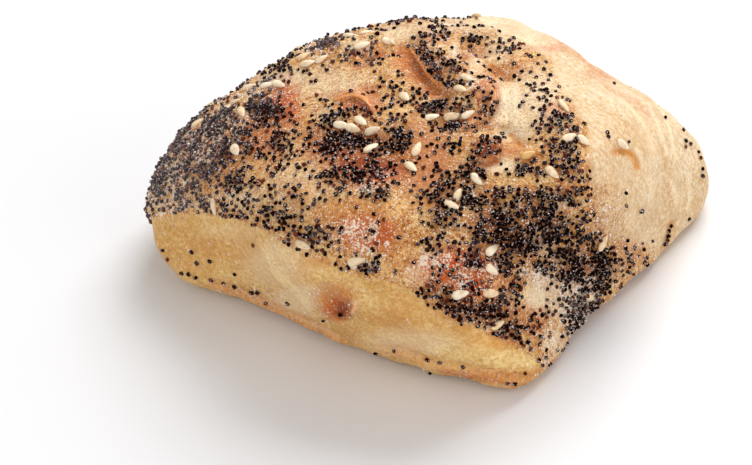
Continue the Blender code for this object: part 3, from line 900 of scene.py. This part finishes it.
def make_crust(form, marks):
    """The crust piece with its torn lips and the masks that its material reads."""
    points, _, quads, tree = form
    lip_points, lip_quads = make_lips(tree)
    quads = np.concatenate([quads, lip_quads + len(points)])
    points = np.concatenate([points, lip_points])
    normals = vertex_normals(points, quads)
    plain = np.zeros(len(lip_points))
    seeded = np.concatenate([marks["seeded"], plain + 0.5])
    crust = add_piece("crust", points, quads, crust_material())
    x, y = to_picture(points)
    seen = seen_share(points, normals)
    mottle = 0.5 + waves(points, TINT_MOTTLE)
    heaped = np.clip((poppy_strength(points, normals) - 0.6) / 0.4, 0, 1)
    # Painted shade in the gaps between thickly heaped seeds, left off the pale patches
    shade_under_heaps = 0.65 * heaped * (1 - patch_strength(x, y, PALE_PATCHES) * seen)
    masks = {
        "ruddy": (RUDDY_PATCHES, 0.35),
        "amber": (AMBER_PATCHES, 0.25),
        "scorch_and_shade": (SCORCH_PATCHES, 0.2),
        "pale": (PALE_PATCHES, 0.2),
        "flour": (FLOUR_PATCHES, 0.3),
    }
    for name, (patches, elsewhere) in masks.items():
        shown = np.maximum(patch_strength(x, y, patches), line_strength(x, y, TINT_LINES.get(name, ())))
        strength = shown * seen + elsewhere * mottle * seeded * (1 - seen)
        # The scorch mask also carries the painted shade between heaped seeds
        if name == "scorch_and_shade":
            strength = np.maximum(strength, shade_under_heaps)
        if name == "flour":
            strength = strength * (0.15 + 0.85 * seeded)
        add_attribute(crust, name, strength)
    add_attribute(crust, "seeded", np.maximum(seeded, patch_strength(x, y, GRAINY_PATCHES) * seen))
    # Painted highlight on the raised edges of the folds, and all over the thin lips
    add_attribute(crust, "rim_highlight", np.concatenate([marks["rim_highlight"], plain + 1]))
    # Painted shade in the fold hollows, none on the lips
    add_attribute(crust, "hollow", np.concatenate([marks["hollow"], plain]))
    by_sides = side_share(unit(points - HEART), STRETCHED_SIDES, 0.5, SLOPE_SHARPNESS)
    add_attribute(crust, "stretched", np.maximum(by_sides, inside_share(x, y, BARE_OUTLINES[1], 6.0) * seen))
    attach(crust, "root")
    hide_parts("roll")


def sample_surface(points, normals, quads, count, draw):
    """Random spots spread by area: a quad is drawn by its size, then a place in it by bilinear blend."""
    area = np.linalg.norm(diagonal_cross(points, quads), axis=1)
    chosen = quads[draw.choice(len(quads), count, p=area / area.sum())]
    across = draw.rand(count, 1)
    upward = draw.rand(count, 1)
    weights = np.stack([
        (1 - across) * (1 - upward),
        across * (1 - upward),
        across * upward,
        (1 - across) * upward,
    ])
    places = sum(weights[corner] * points[chosen[:, corner]] for corner in range(4))
    stands = unit(sum(weights[corner] * normals[chosen[:, corner]] for corner in range(4)))
    return places, stands


def spaced(places, spacing):
    """Indices of the places kept when each in turn must be the spacing away from all kept before it."""
    cells = {}
    kept = []
    steps = list(itertools.product((-1, 0, 1), repeat=3))
    for index, place in enumerate(places.tolist()):
        x, y, z = (math.floor(value / spacing) for value in place)
        around = ((x + i, y + j, z + k) for i, j, k in steps)
        others = (other for cell in around for other in cells.get(cell, ()))
        if all(math.dist(place, other) >= spacing for other in others):
            cells.setdefault((x, y, z), []).append(place)
            kept.append(index)
    return np.array(kept, dtype=int)


def frames_on(normals, draw, tilt):
    """Right-handed frames on the normals, each turned at random and tilted by about the given share."""
    leaning = unit(normals + tilt * draw.normal(size=normals.shape))
    helper = unit(draw.normal(size=normals.shape))
    along = unit(np.cross(helper, leaning))
    across = np.cross(leaning, along)
    return np.stack([along, across, leaning], axis=1)


def egg(rings, sides, taper, dent):
    """Unit egg from -0.5 to 0.5: circles whose radius is a half circle's times a taper, closed by poles.

    The dent pulls one flank in halfway along, as in a kidney.
    """
    along = -np.cos(np.linspace(0, math.pi, rings + 1))[1:-1]
    turn = np.arange(sides) / sides * 2 * math.pi
    t, angle = np.meshgrid(along, turn, indexing="ij")
    width = np.sqrt(1 - t ** 2) * (1 - taper * t) * 0.5
    notch = dent * bell(t, 0.35) * np.maximum(np.cos(angle), 0) * 0.5
    body = np.stack([t * 0.5, np.cos(angle) * width - notch, np.sin(angle) * width], axis=-1)
    points = np.concatenate([[[-0.5, 0, 0]], body.reshape(-1, 3), [[0.5, 0, 0]]])
    number = np.arange((rings - 1) * sides).reshape(rings - 1, sides) + 1
    following = np.roll(number, -1, axis=1)
    last = len(points) - 1
    start_fan = np.stack([np.zeros_like(number[0]), following[0], number[0]], axis=-1)
    end_fan = np.stack([np.full_like(number[-1], last), number[-1], following[-1]], axis=-1)
    lower = np.stack([number[:-1], following[:-1], following[1:]], axis=-1).reshape(-1, 3)
    upper = np.stack([number[:-1], following[1:], number[1:]], axis=-1).reshape(-1, 3)
    return points, np.concatenate([start_fan, lower, upper, end_fan])


def scatter(shape, faces, places, frames, sizes):
    """Copies of a shape, each scaled along its frame's axes and moved to its place, as joined arrays."""
    scaled = shape[None] * sizes[:, None, :]
    turned = np.einsum("nvi,nij->nvj", scaled, frames)
    points = turned + places[:, None, :]
    offsets = np.arange(len(places))[:, None, None] * len(shape)
    return points.reshape(-1, 3), (faces[None] + offsets).reshape(-1, 3)


def poppy_strength(places, normals):
    """How thickly poppy seeds lie, 0 to 1: the picture's patches where they show, a mottle elsewhere."""
    x, y = to_picture(places)
    seen = seen_share(places, normals)
    shown = np.maximum(patch_strength(x, y, POPPY_PATCHES), POPPY_BACKGROUND)
    shown = shown * (1 - patch_strength(x, y, BARE_PATCHES)) * (1 - inside_share(x, y, CLEAR_OUTLINE, 2.0))
    hidden = POPPY_HIDDEN_SIDE * (0.75 + waves(places, POPPY_MOTTLE))
    uneven = 1 + waves(places, POPPY_CLUSTERS)
    dipped = seeded_share(places, normals) > 0.5
    return (shown * seen + hidden * (1 - seen)) * uneven * dipped * (places[:, 2] > LOWEST_SEED_MM)


def under_sesame(places, spots):
    """Whether each place lies under one of the sesame seeds."""
    covered = np.zeros(len(places), dtype=bool)
    for place, normal, along, length in spots:
        across = np.cross(normal, along)
        gap = places - place
        far_along = (gap @ along) / (length / 2 + FREE_EDGE_MM)
        far_across = (gap @ across) / (SESAME_SIZE_MM[0] / 2 + FREE_EDGE_MM)
        covered |= (far_along ** 2 + far_across ** 2 < 1) & (np.abs(gap @ normal) < FREE_HEIGHT_MM)
    return covered


def make_poppy_seeds(form, spots, draw):
    """Poppy seeds: a spaced layer, a second one on the thick patches, and the stray ones."""
    points, normals, quads, tree = form
    places, stands = sample_surface(points, normals, quads, POPPY_TRIES, draw)
    strength = poppy_strength(places, stands)
    per_area = POPPY_TRIES / SURFACE_MM2
    # The spacing turns down more tries where seeds lie thick, so more are made there
    chance = strength / per_area * (1 + 3 * strength ** 2)
    chosen = draw.rand(len(places)) < chance
    places, stands, strength = places[chosen], stands[chosen], strength[chosen]
    kept = spaced(places, POPPY_SPACING_MM)
    rest = np.setdiff1d(np.arange(len(places)), kept)
    rest = rest[strength[rest] > HEAPED_STRENGTH]
    heaped = rest[spaced(places[rest], HEAPED_SPACING_MM)]
    stray_places, stray_stands = places_at(tree, STRAY_SEEDS)
    places = np.concatenate([places[kept], places[heaped], stray_places])
    stands = np.concatenate([stands[kept], stands[heaped], stray_stands])
    lift = np.concatenate([
        draw.uniform(*LAYER_LIFT_MM, len(kept)),
        draw.uniform(*HEAPED_LIFT_MM, len(heaped)),
        draw.uniform(*STRAY_LIFT_MM, len(stray_places)),
    ])
    clear = ~under_sesame(places, spots)
    places = (places + stands * lift[:, None])[clear]
    stands = stands[clear]
    diameter = POPPY_DIAMETER_MM * draw.normal(1.0, 0.1, (len(places), 1)).clip(0.75, 1.2)
    sizes = diameter * POPPY_PROPORTIONS
    shape, faces = egg(rings=4, sides=7, taper=0.12, dent=0.2)
    frames = frames_on(stands, draw, tilt=0.35)
    seed_points, seed_faces = scatter(shape, faces, places, frames, sizes)
    seeds = add_piece("poppy_seeds", seed_points, seed_faces, poppy_material(), corners=3)
    x, y = to_picture(places)
    tone = draw.rand(len(places)) * (1 - 0.6 * patch_strength(x, y, SCORCH_PATCHES))
    brown = draw.rand(len(places)) < 0.4 + 0.5 * patch_strength(x, y, RUDDY_PATCHES)
    add_attribute(seeds, "tone", tone)
    add_attribute(seeds, "brown", brown)
    x, y = to_picture(seed_points)
    add_attribute(seeds, "flour", patch_strength(x, y, FLOUR_PATCHES))
    # Where the seeds carry a powdery film, partly a painted sheen
    add_attribute(seeds, "film_and_sheen", patch_strength(x, y, FILM_AND_SHEEN_PATCHES))
    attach(seeds, "root")
    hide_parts("roll")


def sesame_spots(form, draw):
    """Place, normal, long axis and length of each sesame seed: those that show, then the hidden ones."""
    points, normals, quads, tree = form
    spots = []
    for x, y, turn, length in SESAME_PLACES:
        spot = place_at(tree, x, y)
        if spot is None:
            continue
        place, normal = spot
        tilt = math.radians(turn)
        shown = RIGHT * math.cos(tilt) + UP * math.sin(tilt)
        along = shown - (shown @ normal) / max(BACK @ normal, LEAST_FACING) * BACK
        stretch = np.linalg.norm(along)
        spots.append((place, normal, along / stretch, min(length * stretch, LONGEST_SESAME_MM)))
    places, stands = sample_surface(points, normals, quads, HIDDEN_SESAME_TRIES, draw)
    hidden = (seen_share(places, stands) == 0) & (seeded_share(places, stands) > 0.9)
    hidden &= places[:, 2] > LOWEST_HIDDEN_SESAME_MM
    places, stands = places[hidden], stands[hidden]
    kept = spaced(places, HIDDEN_SESAME_SPACING_MM)[:HIDDEN_SESAME_COUNT]
    for place, normal in zip(places[kept], stands[kept]):
        along = unit(np.cross(normal, draw.normal(size=3)))
        spots.append((place, normal, along, draw.uniform(*HIDDEN_SESAME_LENGTH_MM)))
    return spots


def make_sesame_seeds(spots, draw):
    """Sesame seeds: flat eggs drawn to a tip, each lying along its own axis, a little tilted."""
    shape, faces = egg(rings=14, sides=16, taper=0.32, dent=0.0)
    places, stands, along, length = (np.array(column) for column in zip(*spots))
    stands = unit(stands + 0.10 * draw.normal(size=places.shape))
    along = unit(along - (along * stands).sum(axis=1, keepdims=True) * stands)
    frames = np.stack([along, np.cross(stands, along), stands], axis=1)
    length = length[:, None]
    width = SESAME_SIZE_MM[0] * draw.normal(1, 0.07, length.shape).clip(0.8, 1.15)
    thickness = SESAME_SIZE_MM[1] * draw.normal(1, 0.08, length.shape).clip(0.8, 1.2)
    sizes = np.concatenate([length, width, thickness], axis=1)
    seed_points, seed_faces = scatter(shape, faces, places + stands * SESAME_LIFT_MM, frames, sizes)
    seeds = add_piece("sesame_seeds", seed_points, seed_faces, sesame_material(), corners=3)
    add_attribute(seeds, "tone", draw.rand(len(places)))
    toasted = np.clip(patch_strength(*to_picture(places), AMBER_PATCHES) * 4 - 3, 0, 1)
    add_attribute(seeds, "toasted", toasted)
    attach(seeds, "root")
    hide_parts("roll")


def make_grains(form, draw):
    """Flour and semolina grains: tiny uneven six-sided crumbs, thickest on the floury patches."""
    points, normals, quads, _ = form
    places, stands = sample_surface(points, normals, quads, GRAIN_MOST * 3, draw)
    x, y = to_picture(places)
    seen = seen_share(places, stands)
    floury = patch_strength(x, y, FLOUR_PATCHES) * seen
    smooth = np.maximum(patch_strength(x, y, AMBER_PATCHES), line_strength(x, y, TINT_LINES["amber"])) * seen
    rough = patch_strength(x, y, GRAINY_PATCHES) * seen
    grainy = np.maximum(seeded_share(places, stands), rough)
    # Most on floury patches, few on glazed spots, hardly any on bare crust
    chance = (0.4 + 0.6 * floury) * (1 - smooth) * (0.08 + 0.92 * grainy) * (places[:, 2] > 1)
    chosen = np.flatnonzero(draw.rand(len(places)) < chance)[:GRAIN_MOST]
    places, stands = places[chosen], stands[chosen]
    floury, rough = floury[chosen], rough[chosen]
    shape = np.array([[1, 0, 0], [-0.5, 0.87, 0], [-0.5, -0.87, 0], [0, 0, 1], [0, 0, -1]]) * 0.5
    faces = np.array([[0, 1, 3], [1, 2, 3], [2, 0, 3], [1, 0, 4], [2, 1, 4], [0, 2, 4]])
    coarse = draw.rand(len(places), 1) ** 3
    sizes = (GRAIN_SMALLEST_MM + GRAIN_SPREAD_MM * coarse) * (1 + 0.35 * floury + 0.55 * rough)[:, None]
    sizes = sizes * draw.uniform(0.7, 1.3, (len(places), 3))
    frames = frames_on(stands, draw, tilt=0.8)
    lift = draw.uniform(*GRAIN_LIFT_MM, len(places))
    grain_points, grain_faces = scatter(shape, faces, places + stands * lift[:, None], frames, sizes)
    grains = add_piece("flour_grains", grain_points, grain_faces, flour_material(), corners=3)
    add_attribute(grains, "tone", draw.rand(len(places)) * (1 - 0.6 * floury))
    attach(grains, "root")
    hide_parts("roll")


def display_colour(red, green, blue):
    """A colour given as it shows on a screen, 0 to 255, turned into light by the screen's curve."""
    shown = np.array([red, green, blue]) / 255
    light = np.where(shown <= 0.04045, shown / 12.92, ((shown + 0.055) / 1.055) ** 2.4)
    return (*light.tolist(), 1.0)


class Painter:
    """Adds nodes to a material or a node group, and gives their outputs.

    A value is an output, a number, or a colour as it shows on a screen, 0 to 255.
    """

    def __init__(self, tree):
        self.tree = tree

    def feed(self, socket, value):
        """Links an output to a socket, or sets the socket to a number or colour."""
        if isinstance(value, bpy.types.NodeSocket):
            self.tree.links.new(value, socket)
        elif socket.type == "RGBA":
            socket.default_value = display_colour(*value)
        else:
            socket.default_value = value

    def node(self, kind, inputs):
        """A node with its inputs fed."""
        node = self.tree.nodes.new(kind)
        for name, value in inputs.items():
            self.feed(node.inputs[name], value)
        return node

    def shade(self, inputs):
        """Feeds the inputs of the material's Principled shader."""
        shader = self.tree.nodes["Principled BSDF"]
        for name, value in inputs.items():
            self.feed(shader.inputs[name], value)

    def mask(self, name):
        """The value of a vertex mask."""
        node = self.node("ShaderNodeAttribute", {})
        node.attribute_name = name
        return node.outputs["Fac"]

    def lattice(self, size_mm):
        """Inputs of a texture whose lumps are the given number of millimetres apart on the piece."""
        place = self.node("ShaderNodeTexCoord", {}).outputs["Object"]
        return {"Vector": place, "Scale": 1 / (size_mm * MM)}

    def noise(self, size_mm, detail=3.0, roughness=0.55):
        """Smooth noise of the given size."""
        inputs = {**self.lattice(size_mm), "Detail": detail, "Roughness": roughness}
        return self.node("ShaderNodeTexNoise", inputs).outputs["Fac"]

    def cells(self, size_mm):
        """Random rounded cells: the distance from their middles, and a chance value for each."""
        node = self.node("ShaderNodeTexVoronoi", self.lattice(size_mm))
        split = self.node("ShaderNodeSeparateColor", {"Color": node.outputs["Color"]})
        return node.outputs["Distance"], split.outputs["Red"]

    def calculate(self, operation, first, second, clamp):
        """A sum, a difference or a product."""
        node = self.node("ShaderNodeMath", {0: first, 1: second})
        node.operation = operation
        node.use_clamp = clamp
        return node.outputs["Value"]

    def times(self, first, second, clamp=False):
        """A product."""
        return self.calculate("MULTIPLY", first, second, clamp)

    def plus(self, first, second):
        """A sum."""
        return self.calculate("ADD", first, second, False)

    def minus(self, first, second, clamp=False):
        """A difference."""
        return self.calculate("SUBTRACT", first, second, clamp)

    def remap(self, value, low, high, start=0.0, end=1.0):
        """A value stretched from one range to another, smoothly and within its ends."""
        inputs = {"Value": value, "From Min": low, "From Max": high, "To Min": start, "To Max": end}
        node = self.node("ShaderNodeMapRange", inputs)
        node.interpolation_type = "SMOOTHSTEP"
        return node.outputs["Result"]

    def mix(self, share, first, second, mode="MIX"):
        """Two colours mixed by a share."""
        node = self.node("ShaderNodeMix", {})
        node.data_type = "RGBA"
        node.blend_type = mode
        sockets = {socket.identifier: socket for socket in (*node.inputs, *node.outputs)}
        self.feed(sockets["Factor_Float"], share)
        self.feed(sockets["A_Color"], first)
        self.feed(sockets["B_Color"], second)
        return sockets["Result_Color"]

    def glaze(self, share, colour, tint):
        """A colour seen through a clear tint, by a share."""
        return self.mix(share, colour, self.mix(1.0, colour, tint, mode="MULTIPLY"))

    def bump(self, height, distance_mm, strength, before=None):
        """A bumpy surface's normals, on top of earlier ones if there are any."""
        inputs = {"Distance": distance_mm * MM, "Strength": strength, "Height": height}
        if before is not None:
            inputs["Normal"] = before
        return self.node("ShaderNodeBump", inputs).outputs["Normal"]

    def dust(self, colour, amount):
        """A colour under white dust, and how thick the dust lies."""
        node = self.node("ShaderNodeGroup", {})
        node.node_tree = dusting_group()
        self.feed(node.inputs["Color"], colour)
        self.feed(node.inputs["Amount"], amount)
        return node.outputs["Color"], node.outputs["Mask"]


def dusting_group():
    """Shared effect: white dust that settles in specks, thicker as its amount grows."""
    name = "dusting"
    if name in bpy.data.node_groups:
        return bpy.data.node_groups[name]
    group = bpy.data.node_groups.new(name, "ShaderNodeTree")
    group.interface.new_socket("Color", in_out="INPUT", socket_type="NodeSocketColor")
    group.interface.new_socket("Amount", in_out="INPUT", socket_type="NodeSocketFloat")
    group.interface.new_socket("Color", in_out="OUTPUT", socket_type="NodeSocketColor")
    group.interface.new_socket("Mask", in_out="OUTPUT", socket_type="NodeSocketFloat")
    enter = group.nodes.new("NodeGroupInput")
    paint = Painter(group)
    specks = paint.noise(0.6, detail=3.0, roughness=0.7)
    clumps = paint.noise(2.2, detail=2.0)
    uneven = paint.plus(paint.times(clumps, 0.6), specks)
    raised = paint.plus(uneven, paint.times(enter.outputs["Amount"], 0.2))
    mask = paint.times(paint.remap(raised, 0.97, 1.05), 0.8)
    dusted = paint.mix(mask, enter.outputs["Color"], (253, 238, 216))
    paint.node("NodeGroupOutput", {"Color": dusted, "Mask": mask})
    return group


def start_material(name):
    """A material and the painter of its nodes."""
    material = bpy.data.materials.new(name)
    material.use_nodes = True
    return material, Painter(material.node_tree)


def crust_material():
    """Baked crust: gold to brown between the seeds, pale where it was cut or stretched, grainy.

    It carries painted light: a highlight on rims and lips, and shade in hollows, between heaped seeds and
    between grains.
    """
    material, paint = start_material("crust")
    seeded = paint.mask("seeded")
    broad = paint.noise(13, detail=2.0)
    medium = paint.noise(3.2, detail=4.0, roughness=0.6)
    fine = paint.noise(0.7, detail=4.0, roughness=0.75)
    distance, chance = paint.cells(0.5)
    gold = paint.mix(paint.remap(medium, 0.35, 0.65), (208, 146, 74), (240, 200, 134))
    cut = paint.mix(paint.remap(broad, 0.35, 0.65), (220, 176, 104), (242, 212, 144))
    cut = paint.mix(paint.remap(medium, 0.45, 0.7, 0.0, 0.5), cut, (214, 160, 94))
    slope = paint.mix(paint.remap(broad, 0.35, 0.65), (224, 196, 154), (238, 218, 186))
    bare = paint.mix(paint.mask("stretched"), cut, slope)
    blotch = paint.remap(paint.noise(1.1, detail=2.0), 0.4, 0.6, 0.9, 0.0)
    bare = paint.glaze(blotch, bare, (242, 228, 204))
    colour = paint.mix(seeded, bare, gold)
    pale = paint.mask("pale")
    colour = paint.mix(pale, colour, (250, 231, 194))
    patchy = paint.remap(medium, 0.25, 0.6, 0.35, 1.0)
    glazed = paint.remap(medium, 0.25, 0.6, 0.6, 1.0)
    amber = paint.times(paint.mask("amber"), glazed)
    colour = paint.glaze(amber, colour, (224, 164, 66))
    colour = paint.glaze(paint.times(paint.mask("ruddy"), patchy), colour, (226, 116, 54))
    # Scorched crust, and painted shade between heaped seeds
    colour = paint.mix(paint.times(paint.mask("scorch_and_shade"), patchy), colour, (128, 50, 18))
    # Painted shade glazed into the fold hollows
    colour = paint.glaze(paint.times(paint.mask("hollow"), 0.7, clamp=True), colour, (208, 126, 48))
    # Painted highlight on the lit rims of the folds and on the lips
    colour = paint.mix(paint.times(paint.mask("rim_highlight"), 0.85, clamp=True), colour, (246, 172, 104))
    smooth = paint.times(paint.mask("amber"), 0.5)
    grainy = paint.minus(paint.remap(seeded, 0, 1, 0.4, 1.0), smooth, clamp=True)
    # Painted shade: darker amber in the low spots between the grains
    gap_shade = paint.times(paint.remap(fine, 0.36, 0.56, 1.0, 0.0), grainy)
    gap_shade = paint.times(gap_shade, paint.remap(pale, 0.0, 1.0, 1.0, 0.35))
    colour = paint.glaze(gap_shade, colour, (182, 123, 60))
    round_top = paint.remap(distance, 0.25, 0.5, 1.0, 0.0)
    speck = paint.times(round_top, paint.remap(chance, 0.59, 0.77))
    speck = paint.times(speck, paint.times(grainy, 0.75))
    colour = paint.mix(speck, colour, (252, 230, 203))
    colour, dust = paint.dust(colour, paint.mask("flour"))
    gloss = paint.minus(paint.remap(medium, 0.3, 0.7, 0.5, 0.72), paint.times(amber, 0.2))
    gloss = paint.plus(gloss, paint.times(dust, 0.2))
    relief = paint.bump(medium, 0.5, 0.4)
    relief = paint.bump(paint.times(fine, grainy), 0.35, 0.8, relief)
    relief = paint.bump(paint.times(round_top, grainy), 0.1, 0.8, relief)
    paint.shade({"Base Color": colour, "Roughness": gloss, "Normal": relief, "Specular IOR Level": 0.3})
    return material


def poppy_material():
    """Pitted seed coat: slate black or dark brown by the seed, with a sheen and a little flour.

    The glints on a few pits are painted highlights, and the powdery film is partly a painted sheen.
    """
    material, paint = start_material("poppy")
    tone = paint.remap(paint.mask("tone"), 0.48, 1.0)
    slate = paint.mix(tone, (16, 3, 2), (78, 62, 64))
    brown = paint.mix(tone, (30, 6, 2), (116, 56, 38))
    colour = paint.mix(paint.mask("brown"), slate, brown)
    pits, chance = paint.cells(0.24)
    # Painted glints: a few of the pits' cells lightened as highlights
    colour = paint.mix(paint.remap(chance, 0.875, 0.945, 0.0, 0.9), colour, (212, 194, 192))
    # Powdery film, partly a painted sheen of the light from behind
    colour = paint.mix(paint.times(paint.mask("film_and_sheen"), 0.13), colour, (204, 190, 196))
    colour, _ = paint.dust(colour, paint.times(paint.mask("flour"), 0.45))
    relief = paint.bump(pits, 0.08, 0.9)
    paint.shade({"Base Color": colour, "Roughness": 0.3, "Normal": relief, "Specular IOR Level": 0.02})
    return material


def sesame_material():
    """Hulled sesame: cream, a little translucent, toasted darker in places."""
    material, paint = start_material("sesame")
    colour = paint.mix(paint.mask("tone"), (246, 230, 204), (236, 209, 168))
    worn = paint.remap(paint.noise(1.2, detail=3.0), 0.44, 0.72, 0.0, 0.6)
    colour = paint.mix(worn, colour, (208, 160, 106))
    colour = paint.glaze(paint.mask("toasted"), colour, (244, 216, 164))
    paint.shade({
        "Base Color": colour,
        "Roughness": 0.42,
        "Normal": paint.bump(paint.noise(0.3), 0.04, 0.5),
        "Subsurface Weight": 0.12,
        "Subsurface Radius": (0.0012, 0.0008, 0.0004),
    })
    return material


def flour_material():
    """Flour and semolina: white to pale straw by the grain."""
    material, paint = start_material("flour")
    colour = paint.mix(paint.remap(paint.mask("tone"), 0.1, 0.6), (255, 242, 234), (241, 208, 168))
    paint.shade({"Base Color": colour, "Roughness": 0.6})
    return material


def make_floor():
    """Plain pale floor."""
    corners = np.array([[-1, -1, 0], [1, -1, 0], [1, 1, 0], [-1, 1, 0]]) * FLOOR_HALF_MM
    material, paint = start_material("floor")
    paint.shade({"Base Color": (232, 232, 234), "Roughness": 0.55})
    floor = add_piece("floor", corners, np.array([[0, 1, 2, 3]]), material)


def light_scene():
    """High-key light: a big soft source above and behind, weak ones in front, and a pale surround."""
    for name, place, size, power in LIGHTS:
        light = bpy.data.lights.new(name, "AREA")
        light.shape = "SQUARE"
        light.size = size
        light.energy = power
        item = bpy.data.objects.new(name, light)
        item.location = place
        item.rotation_euler = (LIGHT_AIM - Vector(place)).to_track_quat("-Z", "Y").to_euler()
        bpy.context.scene.collection.objects.link(item)
    world = bpy.data.worlds.new("surround")
    world.use_nodes = True
    background = world.node_tree.nodes["Background"]
    background.inputs["Color"].default_value = (1.0, 0.99, 0.97, 1.0)
    background.inputs["Strength"].default_value = 0.5
    bpy.context.scene.world = world
    bpy.context.scene.view_settings.view_transform = "Standard"


def add_camera():
    """The camera at the picture's angle."""
    camera = bpy.data.cameras.new("camera")
    camera.sensor_width = SENSOR_WIDTH
    camera.lens = LENS
    camera.clip_start = 0.05
    item = bpy.data.objects.new("camera", camera)
    turned = Matrix((RIGHT, UP, BACK)).transposed().to_4x4()
    item.matrix_world = Matrix.Translation(CAMERA_PLACE_MM * MM) @ turned
    bpy.context.scene.collection.objects.link(item)
    bpy.context.scene.camera = item


def main():
    """Makes the camera, the crust, then what lies on it."""
    add_camera()
    draw = np.random.RandomState(RANDOM_SEED)
    points, normals, quads, marks = make_crust_form()
    form = (points, normals, quads, make_tree(points, quads))
    make_crust(form, marks)
    spots = sesame_spots(form, draw)
    make_sesame_seeds(spots, draw)
    make_poppy_seeds(form, spots, draw)
    make_grains(form, draw)
    make_floor()
    light_scene()


main()
